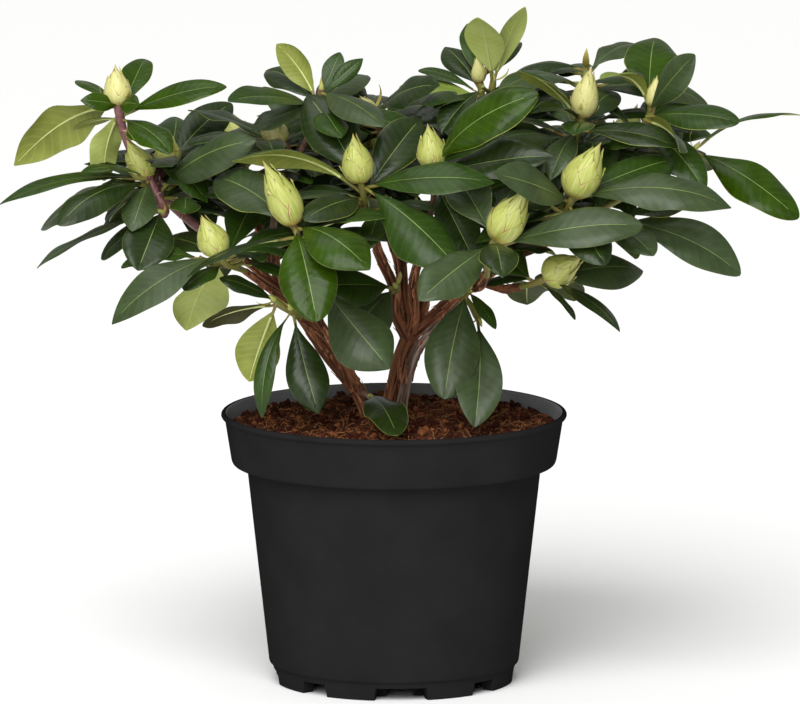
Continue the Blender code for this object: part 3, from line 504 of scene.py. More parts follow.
def rounded(profile, steps=4):
    """Rounds each corner by a quadratic Bezier curve that starts and ends its size away from the corner."""
    points = []
    for number, (x, z, size) in enumerate(profile):
        corner = np.array((x, z), float)
        if size == 0:
            points.append(corner)
            continue
        before = np.array(profile[number - 1][:2], float) - corner
        after = np.array(profile[number + 1][:2], float) - corner
        first = corner + before * min(size / np.linalg.norm(before), 0.45)
        last = corner + after * min(size / np.linalg.norm(after), 0.45)
        for t in np.linspace(0, 1, steps):
            points.append((1 - t) ** 2 * first + 2 * t * (1 - t) * corner + t ** 2 * last)
    return np.array(points)


def spaced(profile, longest):
    """Adds points to a profile until none of its steps is longer than the given length."""
    points = [profile[0]]
    for a, b in zip(profile, profile[1:]):
        count = max(1, math.ceil(np.linalg.norm(b - a) / longest))
        points.extend(a + (b - a) * step / count for step in range(1, count + 1))
    return np.array(points)


def turned(profile, turns):
    """Points of a profile (radius, height) turned round the axis: radius * (cos, sin), height."""
    radius, height = profile[:, 0][:, None], profile[:, 1][:, None]
    return np.stack([radius * np.cos(turns), radius * np.sin(turns), height + 0 * turns], axis=-1)


def notch_lift(turns):
    """How high the foot ring stands off the ground at each bearing: flat between two leaning sides."""
    lift = np.zeros(len(turns))
    for bearing, width in NOTCHES:
        away = (turns - math.radians(bearing) + math.pi) % math.tau - math.pi
        inside = width / 2 - np.abs(away) * FOOT_RADIUS
        lift = np.maximum(lift, NOTCH_TOP * np.clip(inside / NOTCH_RAMP, 0, 1))
    return lift


edges = [math.radians(bearing) + side * (width / 2 - share * NOTCH_RAMP) / FOOT_RADIUS
         for bearing, width in NOTCHES for side in (-1, 1) for share in NOTCH_SHARES]
turns = np.unique(np.round(np.concatenate([turns_round(POT_COLUMNS), np.array(edges) % math.tau]), 5))
profile = spaced(rounded(POT_PROFILE), POT_STEP)
body = turned(profile, turns)
radius = np.hypot(body[..., 0], body[..., 1])
lift = np.where((radius > FOOT_BAND[0]) & (radius < FOOT_BAND[1]), notch_lift(turns), 0)
body[..., 2] = np.maximum(body[..., 2], lift)
lip = np.argmax(profile[:, 1])
# The inside's quads take the second finish, the pale grey of painted light
parts = [loft(body, (np.arange(len(profile) - 1) < lip - PAINTED_LIGHT_STOP)[:, None])]
for bearing in TAB_BEARINGS:
    rows = []
    for height, share in TAB_ROWS:
        arc = math.radians(bearing) + np.linspace(-0.5, 0.5, TAB_COLUMNS) * TAB_ARC * share
        outer, inner = turned(np.array([(tab_radius, height) for tab_radius in TAB_RADII]), arc)
        rows.append(np.vstack([outer, inner[::-1]]))
    parts.append(loft(np.array(rows)))
pot = make_piece("pot_moulded", parts, [pot_plastic, pot_inside_painted_light], crease=28)
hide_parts("pot")

# %% [markdown]
# ## The soil
#
# Loose peat: the top is a polar grid with three sizes of lumps, and its sides follow the inside of the pot.
# Crumbs and fibres lie on it, pressed in by part of their size.

# %% The soil
SOIL_EDGE_RADIUS = 109.0
SOIL_STEP = 1.5
SOIL_COLUMNS = 360
SOIL_MOUND = ((0, 60, 104, SOIL_EDGE_RADIUS), (176.5, 175.3, 172.6, 171.5))  # radii and heights
SOIL_SIDES = ((105.2, 150.2), (95.2, 148.3), (80.1, 11.4), (1.5, 11.4))
LUMPS = ((1.6, 16, 1), (1.2, 7, 2), (0.6, 3, 3))     # height, size and seed
EDGE_FADE = 12           # the lumps grow flatter over this width at the edge


def soil_height(x, y):
    """The height of the peat: a low mound, falling to the edge, with lumps that flatten out there."""
    radius = np.hypot(x, y)
    places = np.stack([x, y], axis=-1)
    lumps = sum(height * waves(places, size, seed) for height, size, seed in LUMPS)
    mound = np.interp(radius, *SOIL_MOUND)
    return mound + lumps * np.clip((SOIL_EDGE_RADIUS + 4 - radius) / EDGE_FADE, 0.3, 1)


rings = np.append(np.arange(SOIL_STEP, SOIL_EDGE_RADIUS, SOIL_STEP), SOIL_EDGE_RADIUS)
top = turned(np.stack([rings, 0 * rings], axis=1), turns_round(SOIL_COLUMNS))
top[..., 2] = soil_height(top[..., 0], top[..., 1])
sides = turned(np.array(SOIL_SIDES), turns_round(SOIL_COLUMNS))
soil = make_piece("soil_peat", [loft(np.vstack([top, sides]))], [soil_peat], crease=75)
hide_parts("soil")

# %% Crumbs and fibres
CRUMBS = 1050
CRUMB_MARGIN = 3
CRUMB_LEAST = 0.8
CRUMB_MORE = 2.4         # the largest crumb is larger than the least by this
CRUMB_RELIEF = 0.28
CRUMB_SIDES = (0.45, 1.3)    # a crumb's half axes, as shares of its size
FIBRES = 620
FIBRE_MARGIN = 12
FIBRE_POINTS = 8
FIBRE_BEND = 0.35
FIBRE_STEP = (0.7, 2.2)
FIBRE_HUMP = (0.2, 2.6)
FIBRE_RADIUS = (0.16, 0.45)


def soil_spot(draw, margin):
    """An evenly drawn place on the soil that keeps a margin from its edge."""
    away, turn = (SOIL_EDGE_RADIUS - margin) * math.sqrt(draw.uniform()), draw.uniform(0, math.tau)
    return np.array([away * math.cos(turn), away * math.sin(turn)])


draw = np.random.default_rng(11)
bpy.ops.mesh.primitive_ico_sphere_add(subdivisions=2, radius=1.0)
ball = bpy.context.active_object
ball_points = np.array([vertex.co for vertex in ball.data.vertices])
ball_faces = np.array([polygon.vertices for polygon in ball.data.polygons])
bpy.data.objects.remove(ball, do_unlink=True)
parts = []
for number in range(CRUMBS):
    x, y = soil_spot(draw, CRUMB_MARGIN)
    size = CRUMB_LEAST + CRUMB_MORE * draw.uniform() ** 2.5
    axes, _ = np.linalg.qr(draw.normal(size=(3, 3)))
    lump = ball_points * (1 + CRUMB_RELIEF * waves(ball_points, 1.1, 100 + number, 6)[:, None])
    lump = lump * draw.uniform(*CRUMB_SIDES, 3) * size @ axes
    every_third = int(number % 3 == 1)
    parts.append((lump + (x, y, float(soil_height(x, y)) + 0.3 * size), [ball_faces],
                  [np.full(len(ball_faces), every_third)]))
crumbs = make_piece("soil_crumbs", parts, [crumb_dark, crumb_red], crease=60)
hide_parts("soil")

parts = []
hump = np.sin(np.linspace(0.1, math.pi - 0.1, FIBRE_POINTS))
for number in range(FIBRES):
    start = soil_spot(draw, FIBRE_MARGIN)
    heading = draw.uniform(0, math.tau) + np.cumsum(draw.normal(0, FIBRE_BEND, FIBRE_POINTS))
    steps = np.cumsum(np.stack([np.cos(heading), np.sin(heading)], axis=1), axis=0)
    steps = steps * draw.uniform(*FIBRE_STEP)
    flat = start + steps - steps.mean(axis=0)
    height = soil_height(flat[:, 0], flat[:, 1]) + draw.uniform(*FIBRE_HUMP) * hump
    radii = draw.uniform(*FIBRE_RADIUS) * np.linspace(1, 0.5, FIBRE_POINTS)
    parts.append(loft(tube_sections(np.column_stack([flat, height]), radii, 5)))
fibres = make_piece("soil_fibres", parts, [fibre_tan])
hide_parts("soil")

# %% [markdown]
# ## Stems and boughs
#
# Each limb is a smooth (Catmull-Rom) curve through a few points, springs from a parent and tapers. Here
# the curve is drawn with points a millimetre apart. The bark is a relief of long ridges, knots swell here
# and there and where a limb leaves its parent, and thin strips of bark peel off at one end.

# %% The limbs' places, as in the solids
# Each limb: the limb that it springs from, the points of its middle line, its radius at foot and tip
LIMBS = {
    "stem_left": (None, [(-15, 2, 175.3), (-19, 2, 185), (-28, 0, 201)], 5.2, 4.9),
    "stem_centre": (None, [(-3, 31, 175.3), (1, 29, 194), (5, 27, 212), (12, 25, 231)], 6.0, 5.6),
    "stem_grey": (None, [(4, 16, 175.3), (9, 15, 200), (15, 13, 219), (25, 9, 233)], 3.6, 3.1),
    "limb_left_front": ("stem_left", [(-28, 0, 200), (-37, -10, 223), (-48, -20, 240), (-54, -34, 256)],
                        4.2, 3.4),
    "limb_left_back": ("stem_left", [(-25, 1, 195), (-45, 7, 218), (-60, 12, 240), (-75, 10, 262),
                                     (-80, 14, 288)], 4.2, 3.0),
    "limb_up_left": ("stem_centre", [(10, 25.5, 225), (1, 23, 243), (0, 19, 260), (-8, 12, 280),
                                     (-14, 0, 300)], 4.1, 3.0),
    "limb_back_left": ("stem_centre", [(11, 25.5, 227), (7, 37, 248), (4, 50, 280), (-8, 60, 308)],
                       3.6, 2.8),
    "limb_up": ("stem_centre", [(11, 25, 227), (14, 15, 243), (13, 6, 265), (18, -8, 292)], 3.6, 2.8),
    "limb_back_right": ("stem_centre", [(12, 25, 230), (19, 33, 246), (25, 43, 272), (36, 52, 305)],
                        4.8, 3.0),
    "limb_right": ("stem_centre", [(11, 25, 228), (26, 22, 241), (41, 10, 256), (55, 2, 267), (74, -2, 284),
                                   (88, 0, 305)], 4.6, 3.1),
    "bough_left": ("limb_left_back", [(-74, 10, 260), (-98, 9, 280), (-127, 3, 302)], 2.8, 2.5),
    "bough_left_low": ("limb_left_back", [(-67, 11, 250), (-82, -8, 264), (-98, -34, 280)], 2.6, 2.3),
    "bough_left_back": ("limb_left_back", [(-77, 11, 270), (-86, 36, 288), (-94, 58, 302)], 2.6, 2.3),
    "bough_low_left": ("limb_left_front", [(-43, -16, 233), (-54, -24, 243), (-62, -34, 249)], 2.4, 2.2),
    "bough_back": ("limb_back_left", [(5, 43, 262), (0, 66, 278), (-8, 88, 298)], 2.6, 2.3),
    "bough_back_right": ("limb_back_right", [(26, 45, 278), (42, 66, 294), (56, 82, 310)], 2.6, 2.3),
    "bough_front_right": ("limb_right", [(50, 5, 263), (57, -24, 268), (61, -52, 280)], 2.8, 2.4),
    "bough_low_right": ("limb_right", [(56, 1.5, 268), (72, -18, 266), (84, -34, 270)], 2.6, 2.3),
    "bough_hanging": ("stem_grey", [(24, 9.5, 232), (36, -2, 246), (44, -12, 254)], 2.6, 2.3),
    "bough_right": ("limb_right", [(77, -2, 287), (92, -24, 300), (104, -44, 310)], 2.7, 2.4),
    "bough_far_right": ("limb_right", [(70, -1, 280), (100, 16, 291), (138, 22, 313)], 2.8, 2.4),
    "bough_far_back": ("bough_far_right", [(104, 17, 293), (122, 42, 304), (136, 62, 314)], 2.1, 2.0),
}
print("limbs:", len(LIMBS), "with", round(sum(length_along(limb[1])[-1] for limb in LIMBS.values())), "mm")

# %% Middle lines of the limbs
LIMB_STEP = 12.0
LEAST_STATIONS = 5
FLARE_HEIGHT = 5.0
ROOT_FLARE = 2.6


def smooth_line(points, count):
    """Points on the smooth curve (Catmull-Rom) that runs through every given point."""
    points = np.asarray(points, dtype=float)
    padded = np.vstack([2 * points[0] - points[1], points, 2 * points[-1] - points[-2]])
    places = np.linspace(0.0, len(points) - 1.0, count)
    spans = np.minimum(places.astype(int), len(points) - 2)
    t = (places - spans)[:, None]
    a, b, c, d = (padded[spans + step] for step in range(4))
    cubic = (3 * b - a - 3 * c + d) * t ** 3
    return 0.5 * (2 * b + (c - a) * t + (2 * a - 5 * b + 4 * c - d) * t ** 2 + cubic)


def limb_line(name):
    """A limb's middle line as the solids have it. A stem starts upright, so its foot is flat."""
    parent, points, _, _ = LIMBS[name]
    line = smooth_line(points, max(LEAST_STATIONS, round(length_along(points)[-1] / LIMB_STEP)))
    if parent is None:
        upright = line[0] + np.array([[0.0, 0.0, 0.5 * FLARE_HEIGHT]])
        line = np.vstack([line[:1], upright, line[1:]])
    return line


print("points on the longest limb:", max(len(limb_line(name)) for name in LIMBS))

# %% Bark
BARK_STEP = 1.0
BARK_SIDES = 32
RIDGE_MM = 2.4
FINE_RIDGE_MM = 1.1
FINE_RIDGE_SHARE = 0.35
RIDGE_DEPTH = 0.42       # at a radius of RIDGE_RADIUS, and less on thinner wood
RIDGE_RADIUS = 4.0
KNOT_MM = 26
KNOT_SWELL = 0.2
COLLAR = 0.45            # share by which a limb is thicker where it leaves its parent
COLLAR_MM = 4.0
STEM_DEPTH = 4           # a stem's foot is this deep in the soil
STRIP_EVERY = 3.0        # one loose strip for each such length of a limb
STRIP_LENGTH = (6, 20)
STRIP_LIFT = (0.2, 1.5)  # how far its free end stands off, above STRIP_SEAT
STRIP_SEAT = 0.3
STRIP_TWIST = (-0.4, 0.4)
STRIP_HALF = (0.35, 0.95)    # half its width
STRIP_LOOP = ((-1, 0.0), (0, 0.12), (1, 0.0), (0.9, -0.25), (0, -0.18), (-0.9, -0.25))   # across, height


def bark_skin(line, radii, seed):
    """Sections of a limb with long ridges, and each point's place in the bark's grain, in metres.

    The grain is (radius * cos(turn), radius * sin(turn), along * STRIP_STRETCH), so it has no seam.
    """
    along = length_along(line)[:, None]
    turn = turns_round(BARK_SIDES)
    radii = radii[:, None]
    grain = np.stack([radii * np.cos(turn), radii * np.sin(turn),
                      along * STRIP_STRETCH + 0 * turn], axis=-1)
    ridges = np.abs(waves(grain, RIDGE_MM, seed))
    ridges = ridges + FINE_RIDGE_SHARE * waves(grain, FINE_RIDGE_MM, seed + 1)
    knots = np.maximum(waves(along, KNOT_MM, seed + 2) - 0.8, 0)[:, None]
    depth = RIDGE_DEPTH * np.minimum(radii / RIDGE_RADIUS, 1.2)
    radii = radii * (1 + KNOT_SWELL * knots) + depth * (ridges - 0.4)
    return tube_sections(line, radii, BARK_SIDES), grain * MM


def loose_strip(line, radii, draw):
    """A thin strip of bark: it lies on the limb at one end and curls away from it at the other."""
    _, across, beside = frames_along(line)
    rows = max(STRIP_LENGTH[0], int(draw.uniform(*STRIP_LENGTH) / BARK_STEP))
    first = draw.integers(0, max(1, len(line) - rows))
    picked = np.arange(first, min(first + rows, len(line)))
    u = np.linspace(0, 1, len(picked))
    if draw.uniform() < 0.5:
        u = u[::-1]
    lift = STRIP_SEAT + draw.uniform(*STRIP_LIFT) * u ** 3
    turn = draw.uniform(0, math.tau) + draw.uniform(*STRIP_TWIST) * u
    half = draw.uniform(*STRIP_HALF) * np.sin(math.pi * np.clip(u * 0.8 + 0.1, 0, 1)) / radii[picked]
    loop = [line[picked] + spokes(across[picked], beside[picked], turn + share * half)
            * (radii[picked] + lift + height)[:, None] for share, height in STRIP_LOOP]
    return np.stack(loop, axis=1)


for number, (name, (parent, points, foot_radius, tip_radius)) in enumerate(LIMBS.items()):
    draw = np.random.default_rng(500 + number)
    line = smooth_line(points, round(length_along(points)[-1] / BARK_STEP))
    along = np.arange(len(line)) * BARK_STEP
    radii = np.interp(along, (0, along[-1]), (foot_radius, tip_radius))
    if parent is None:
        line = np.vstack([line[:1] - ((0, 0, STEM_DEPTH),), line])
        radii = np.append(radii[:1], radii) + ROOT_FLARE * np.exp(-(line[:, 2] - line[1, 2]) / FLARE_HEIGHT)
    else:
        radii = radii * (1 + COLLAR * np.exp(-along / COLLAR_MM))
    sections, grain = bark_skin(line, radii, 40 + number)
    parts = [loft(sections)]
    grains = [grain.reshape(-1, 3)]
    for _ in range(int(along[-1] / STRIP_EVERY)):
        strip_points, faces, looks = loft(loose_strip(line, radii, draw))
        parts.append((strip_points, faces, [some + 1 for some in looks]))
        grains.append(strip_points * (1, 1, STRIP_STRETCH) * MM)
    bark = bark_grey if name in ("stem_grey", "bough_hanging") else bark_brown
    limb = make_piece(name + "_bark", parts, [bark, bark_strip], crease=50, grain=np.vstack(grains))
    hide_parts(name)

# %% [markdown]
# ## The rule of the crown
#
# The foliage grows by the rule of the solids. Each mass has one stem from a bough's tip, and a twig from
# that stem to each further whorl: a cubic Bezier curve that leaves along the stem and arrives along the
# whorl's axis. Leaves stand round a twig's tip. A leaf's bearing and rise give the direction of its
# chord, and its face says how far its top is turned to the front. Leaves that the rule adds take their
# bearings by the golden section.

# %% The places of the masses, as in the solids
def leaf(bearing, rise, length, width, face=20, arch=0.08):
    """One leaf. Its face is how far its top is turned to the front, its arch a share of its length."""
    return dict(bearing=bearing, rise=rise, length=length, width=width, face=face, arch=arch)


def whorl(centre, axis, leaves=(), bud=(0, 0), fill=(0, 0, 0)):
    """A shoot's tip, its leaves, its bud's length and width, and the arc and count left to the rule."""
    return dict(centre=centre, axis=axis, leaves=[leaf(*numbers) for numbers in leaves], bud=bud, fill=fill)


# Each mass of foliage: the limb that carries it, where its stem starts, and its whorls. A leaf's numbers
# are its bearing, rise, length and width, and its face and arch where they aren't the usual ones
MASSES = {
    "foliage_far_left": ("bough_left", (-127, 3, 302), [
        whorl((-182, -8, 389), (-0.05, -0.1, 0.95), bud=(28, 18), leaves=[
            (157, -30, 89, 36, -55, 0.2), (124, 14, 55, 14, 0), (73, 30, 60, 20, 45), (346, 18, 75, 25, 35),
            (303, -13, 62, 24, 25), (102, -56, 70, 30, 0), (118, -24, 60, 22, -20), (250, 2, 45, 22, 0),
            (283, 4, 45, 20, 10), (205, -22, 36, 22, 30)]),
        whorl((-163, -6, 339), (-0.45, -0.2, 0.87), bud=(33, 18), fill=(30, 90, 3), leaves=[
            (194, -7, 103, 24, 12, 0.1), (151, -17, 94, 30, 30), (223, -12, 85, 30, 20, 0.12),
            (240, -7, 58, 24, -60), (168, 18, 52, 12, 20), (327, 29, 86, 30, 50, 0.1)]),
        whorl((-150, 22, 344), (0.0, 0.3, 0.95), bud=(22, 18), fill=(100, 70, 2), leaves=[
            (85, 23, 64, 28, 40), (48, 30, 75, 26, 55)]),
        whorl((-153, -26, 318), (-0.5, -0.7, 0.4), fill=(20, 80, 3), leaves=[
            (193, -15, 92, 20, 3, 0.05), (255, -29, 66, 34, 50), (178, -40, 54, 20, 20, 0.03)]),
    ]),
    "foliage_left": ("bough_left_low", (-98, -34, 280), [
        whorl((-116, -60, 297), (-0.3, -0.25, 0.92), bud=(30, 21), fill=(10, 90, 4), leaves=[
            (207, -26, 88, 30, 35, 0.14), (119, -48, 74, 38, -5), (128, 4, 70, 26, 40)]),
    ]),
    "foliage_low_left": ("bough_low_left", (-62, -34, 249), [
        whorl((-68, -45, 257), (-0.3, -0.6, 0.7), fill=(60, 50, 2), leaves=[
            (238, -60, 76, 14, 30, 0.2), (298, -60, 72, 28, 60)]),
        whorl((-79, -46, 263), (-0.6, -0.4, 0.7), leaves=[
            (232, -59, 58, 30, -75), (165, -16, 55, 22, -35), (190, 26, 46, 16, 30)]),
    ]),
    "foliage_front_left": ("limb_left_front", (-54, -34, 256), [
        whorl((-66, -86, 321), (-0.33, -0.2, 0.92), bud=(50, 22), fill=(345, 110, 5), leaves=[
            (285, -43, 80, 38, 40, 0.12), (312, -14, 76, 38, 30, 0.16), (134, 20, 82, 34, 50),
            (67, 9, 60, 24), (204, -14, 82, 26, -5)]),
        whorl((-46, -52, 275), (0.5, -0.7, 0.3), leaves=[(320, -40, 78, 42, 50)]),
    ]),
    "foliage_top_left": ("limb_left_back", (-80, 14, 288), [
        whorl((-48, 4, 396), (0.1, -0.1, 0.98), fill=(345, 90, 2), leaves=[
            (302, -8, 80, 28, 25), (73, 12, 52, 18, 50), (50, 4, 56, 14, 50), (241, 31, 52, 24, 0),
            (125, 16, 62, 28, 40), (222, 10, 78, 28, 25), (273, -24, 50, 18, -60)]),
        whorl((-74, 9, 361), (-0.65, -0.3, 0.7), bud=(26, 17), fill=(110, 130, 4), leaves=[
            (95, 15, 62, 30, 55), (20, 5, 45, 16)]),
    ]),
    "foliage_front_centre": ("limb_up_left", (-14, 0, 300), [
        whorl((-22, -61, 345), (-0.18, -0.2, 0.96), bud=(36, 21), fill=(60, 110, 4), leaves=[
            (117, 39, 82, 36, 60, 0.06), (320, -29, 93, 42, 40), (341, 6, 92, 30, 40, 0.1), (46, 5, 48, 14),
            (194, 16, 92, 26, -35, 0.14), (49, 38, 74, 30, 60), (230, -12, 60, 28, 30)]),
    ]),
    "foliage_low_centre": ("limb_up_left", (0, 19, 258), [
        whorl((1, 4, 264), (-0.2, -0.8, 0.5), leaves=[(212, 6, 58, 34, 45), (242, -14, 66, 34, 45)]),
    ]),
    "foliage_back_top": ("limb_back_left", (-8, 60, 308), [
        whorl((-15, 38, 377), (-0.5, -0.3, 0.8), bud=(16, 9), fill=(110, 130, 4), leaves=[
            (87, 2, 64, 26, 50), (312, 24, 70, 26, 45), (108, 12, 66, 16, 40), (55, 0, 75, 28, 40)]),
        whorl((-47, 92, 343), (-0.4, 0.5, 0.8), bud=(30, 18), fill=(0, 360, 9)),
    ]),
    "foliage_centre": ("limb_up", (18, -8, 292), [
        whorl((26, -51, 353), (-0.1, -0.15, 0.98), bud=(32, 20), fill=(30, 170, 6), leaves=[
            (333, 36, 95, 34, 50, 0.15), (322, 44, 80, 28, 55), (340, 12, 85, 28, 50), (8, -34, 74, 30, 35),
            (335, -60, 58, 30, 45)]),
    ]),
    "foliage_top": ("limb_back_right", (36, 52, 305), [
        whorl((57, 39, 397), (-0.2, -0.1, 0.97), bud=(20, 10), fill=(270, 125, 4), leaves=[
            (60, 22, 60, 16), (100, 37, 60, 18, 40), (117, 24, 56, 22, 40), (140, 24, 50, 14, 20),
            (165, 12, 56, 28, 20), (232, 0, 50, 18, -10), (202, -12, 50, 24, 30), (352, -2, 46, 24, 45)]),
        whorl((66, 40, 397), (0.1, -0.1, 0.98), leaves=[
            (253, 56, 60, 27, 0), (318, 58, 64, 18, -20)]),
    ]),
    "foliage_front_right": ("bough_front_right", (61, -52, 280), [
        whorl((67, -96, 312), (0.5, -0.2, 0.83), bud=(45, 24), fill=(20, 90, 4), leaves=[
            (117, 27, 66, 30, 60), (232, -19, 84, 34, 45), (276, -10, 60, 26, 10, 0.15),
            (349, 11, 102, 32, 45, 0.1)]),
    ]),
    "foliage_hanging": ("bough_hanging", (44, -12, 254), [
        whorl((50, -22, 268), (0.4, -0.6, 0.6), leaves=[(253, -50, 84, 36, 60), (295, -23, 48, 10)]),
        whorl((56, -24, 246), (0.3, -0.6, -0.6), leaves=[(268, -48, 86, 31, 55)]),
    ]),
    "foliage_low_right": ("bough_low_right", (84, -34, 270), [
        whorl((101, -52, 279), (0.8, -0.35, 0.5), bud=(32, 22), fill=(60, 90, 3), leaves=[
            (318, -21, 72, 22, -5), (31, 1, 80, 33, 45), (134, -6, 52, 22, 10), (324, -34, 38, 9, 0),
            (155, 24, 46, 32, 40)]),
    ]),
    "foliage_right": ("bough_right", (104, -44, 310), [
        whorl((118, -76, 338), (0.37, -0.2, 0.9), bud=(44, 25), fill=(55, 110, 4), leaves=[
            (31, 14, 82, 28, 50), (350, 0, 106, 32, 40, 0.12), (211, 21, 76, 32, 50),
            (294, -29, 64, 30, 40)]),
        whorl((146, -51, 317), (0.8, -0.2, 0.4), fill=(75, 80, 2), leaves=[
            (351, -21, 92, 32, 45, 0.13), (30, -14, 78, 26, 40), (305, -16, 56, 24, 30),
            (60, -39, 55, 20)]),
    ]),
    "foliage_top_right": ("limb_right", (88, 0, 305), [
        whorl((124, -21, 382), (0.13, -0.1, 0.98), bud=(37, 18), fill=(90, 130, 5), leaves=[
            (219, 36, 66, 26, 0), (242, 17, 55, 22, 30), (265, 3, 55, 22, 30), (61, 20, 56, 24, 50),
            (335, -4, 72, 24, 30), (210, -50, 60, 30, 40)]),
        whorl((128, 51, 404), (0.1, 0.2, 0.97), fill=(150, 220, 6), leaves=[
            (180, -3, 51, 22, 10, 0.15), (128, -6, 60, 26, 20), (50, 14, 62, 26, 10, 0.15),
            (103, 9, 52, 28, 50)]),
        whorl((171, -3, 387), (0.1, -0.1, 0.98), bud=(22, 12), fill=(50, 130, 3), leaves=[
            (219, 28, 50, 24, -10, 0.22), (86, 28, 84, 36, 60), (313, 45, 62, 24, 50), (322, 3, 76, 28, 35),
            (285, -19, 62, 26, -60), (305, -25, 70, 24, 45), (200, -14, 44, 24, 30)]),
    ]),
    "foliage_far_right": ("bough_far_right", (138, 22, 313), [
        whorl((200, 26, 353), (0.6, 0.2, 0.7), fill=(60, 190, 7), leaves=[
            (323, -23, 94, 33, 45, 0.12), (29, 13, 88, 20, -9, 0.12)]),
    ]),
    "foliage_back_left": ("bough_left_back", (-94, 58, 302), [
        whorl((-102, 97, 342), (-0.3, 0.4, 0.85), bud=(34, 20), fill=(0, 360, 10)),
        whorl((-146, 74, 318), (-0.7, 0.4, 0.5), bud=(30, 19), fill=(40, 250, 8)),
    ]),
    "foliage_back": ("bough_back", (-8, 88, 298), [
        whorl((-16, 133, 334), (-0.2, 0.5, 0.8), bud=(36, 21), fill=(0, 360, 10)),
        whorl((-65, 135, 294), (-0.6, 0.6, 0.4), fill=(60, 220, 8)),
    ]),
    "foliage_back_right": ("bough_back_right", (56, 82, 310), [
        whorl((63, 122, 351), (0.1, 0.4, 0.9), bud=(36, 21), fill=(0, 360, 10)),
        whorl((98, 116, 302), (0.5, 0.7, 0.3), fill=(300, 230, 8)),
    ]),
    "foliage_far_back_right": ("bough_far_back", (136, 62, 314), [
        whorl((152, 94, 346), (0.4, 0.5, 0.8), bud=(34, 20), fill=(300, 260, 10)),
    ]),
    "foliage_foot": ("stem_left", (-25, 1, 194), [
        whorl((-16, -14, 193), (0.4, -0.9, 0.0), leaves=[(283, -8, 86, 28, 30)]),
    ]),
}
print("masses:", len(MASSES), "with", sum(len(whorls) for _, _, whorls in MASSES.values()), "whorls")

# %% Middle lines of the twigs
TWIG_STATIONS = 5
TWIG_PULL = 0.35         # how far a twig's curve is pulled along its two directions
FORK_STEP = 0.2          # the forks of three or more whorls, as shares of the stem,
LONE_FORK = 0.3          # and the fork of two
SEAT_DEPTH = 1.0


def twig_line(start, heading, centre, axis, count):
    """A twig's middle line: it leaves along its heading and ends in the whorl's centre along its axis."""
    start, centre = np.asarray(start, float), np.asarray(centre, float)
    reach = np.linalg.norm(centre - start)
    first = start + unit(heading) * reach * TWIG_PULL
    second = centre - unit(axis) * reach * TWIG_PULL
    t = np.linspace(0.0, 1.0, count)[:, None]
    return ((1 - t) ** 3 * start + 3 * (1 - t) ** 2 * t * first + 3 * (1 - t) * t ** 2 * second
            + t ** 3 * centre)


def mass_lines(name, count):
    """The middle lines of a mass: its stem to the first whorl, and a twig from the stem to each other one.

    A fork's place is measured on the solid's own stem, which has TWIG_STATIONS points.
    """
    limb, start, whorls = MASSES[name]
    line = limb_line(limb)
    nearest = np.argmin(np.linalg.norm(line - np.asarray(start), axis=1))
    at_tip = nearest == len(line) - 1
    heading = line[-1] - line[-2] if at_tip else np.asarray(whorls[0]["centre"], float) - start
    start = np.asarray(start, float) - (unit(heading) * SEAT_DEPTH if at_tip else 0.0)
    ends = [(item["centre"], item["axis"]) for item in whorls]
    stem = twig_line(start, heading, *ends[0], TWIG_STATIONS)
    lines = [twig_line(start, heading, *ends[0], count)]
    for number, end in enumerate(ends[1:]):
        share = FORK_STEP * (number + 1) if len(whorls) > 2 else LONE_FORK
        place = share * (len(stem) - 1)
        before = int(place)
        fork = stem[before] + (stem[before + 1] - stem[before]) * (place - before)
        lines.append(twig_line(fork, stem[before + 1] - stem[before], *end, count))
    return lines


print("twigs:", sum(len(mass_lines(name, TWIG_STATIONS)) for name in MASSES))

# %% The places of the leaves
FIRST_LEAF = 2.5
LEAF_SPACING = 2.2
LOWEST_LEAF = 0.2        # no leaf stands lower on its twig than this share of it
FILL_RISE = (-22.0, 22.0)
FILL_LENGTH = (62.0, 84.0)
FILL_WIDTH = 0.37
FILL_FACE = (0.0, 25.0)
FILL_ARCH = (0.06, 0.14)
FILL_START = 0.1
GOLDEN_PART = 0.618034
TIP_ERROR = 0.05         # a solid's corner this close to a leaf's tip is that tip

# The turns and lifts that a leaf of the solids may have been given, in this order
NUDGES = ((0, 0), (0, 6), (0, -6), (7, 0), (-7, 0), (8, 8), (-8, 8), (8, -8), (-8, -8), (0, 13), (0, -13),
          (14, 0), (-14, 0), (12, 12), (-12, 12), (12, -12), (-12, -12), (0, 20), (0, -20), (22, 0),
          (-22, 0))

# The leaves that stand otherwise than in the solids: the place on its twig that each takes, and the leaf
OWN_PLACES = {
    ("foliage_far_left", 0, 5): (1, leaf(124, -68, 54, 24, 0)),
    ("foliage_far_left", 0, 6): (4, leaf(150, -14, 40, 15, -20)),
    ("foliage_far_left", 0, 7): (0, leaf(212, 12, 30, 14, 60, 0.15)),
    ("foliage_far_left", 0, 9): (0, leaf(305, 10, 24, 14, 60, 0.15)),
    ("foliage_top_left", 0, 1): (1, leaf(40, 58, 33, 14, 60, 0.1)),
    ("foliage_top_left", 0, 2): (2, leaf(14, 41, 40, 12, 60, 0.1)),
    ("foliage_top_left", 0, 3): (3, leaf(150, 50, 48, 20, -60)),
}


def leaf_foot(line, number):
    """The point on a twig's middle line where its leaf of this number stands, counted down from the tip."""
    along = length_along(line)
    place = max(along[-1] - FIRST_LEAF - LEAF_SPACING * number, LOWEST_LEAF * along[-1])
    return np.array([np.interp(place, along, line[:, axis]) for axis in range(3)])


def direction(bearing, rise):
    """The unit vector at a bearing in plan and a rise above the level."""
    turn, lift = math.radians(bearing), math.radians(rise)
    return np.array([math.cos(lift) * math.cos(turn), math.cos(lift) * math.sin(turn), math.sin(lift)])


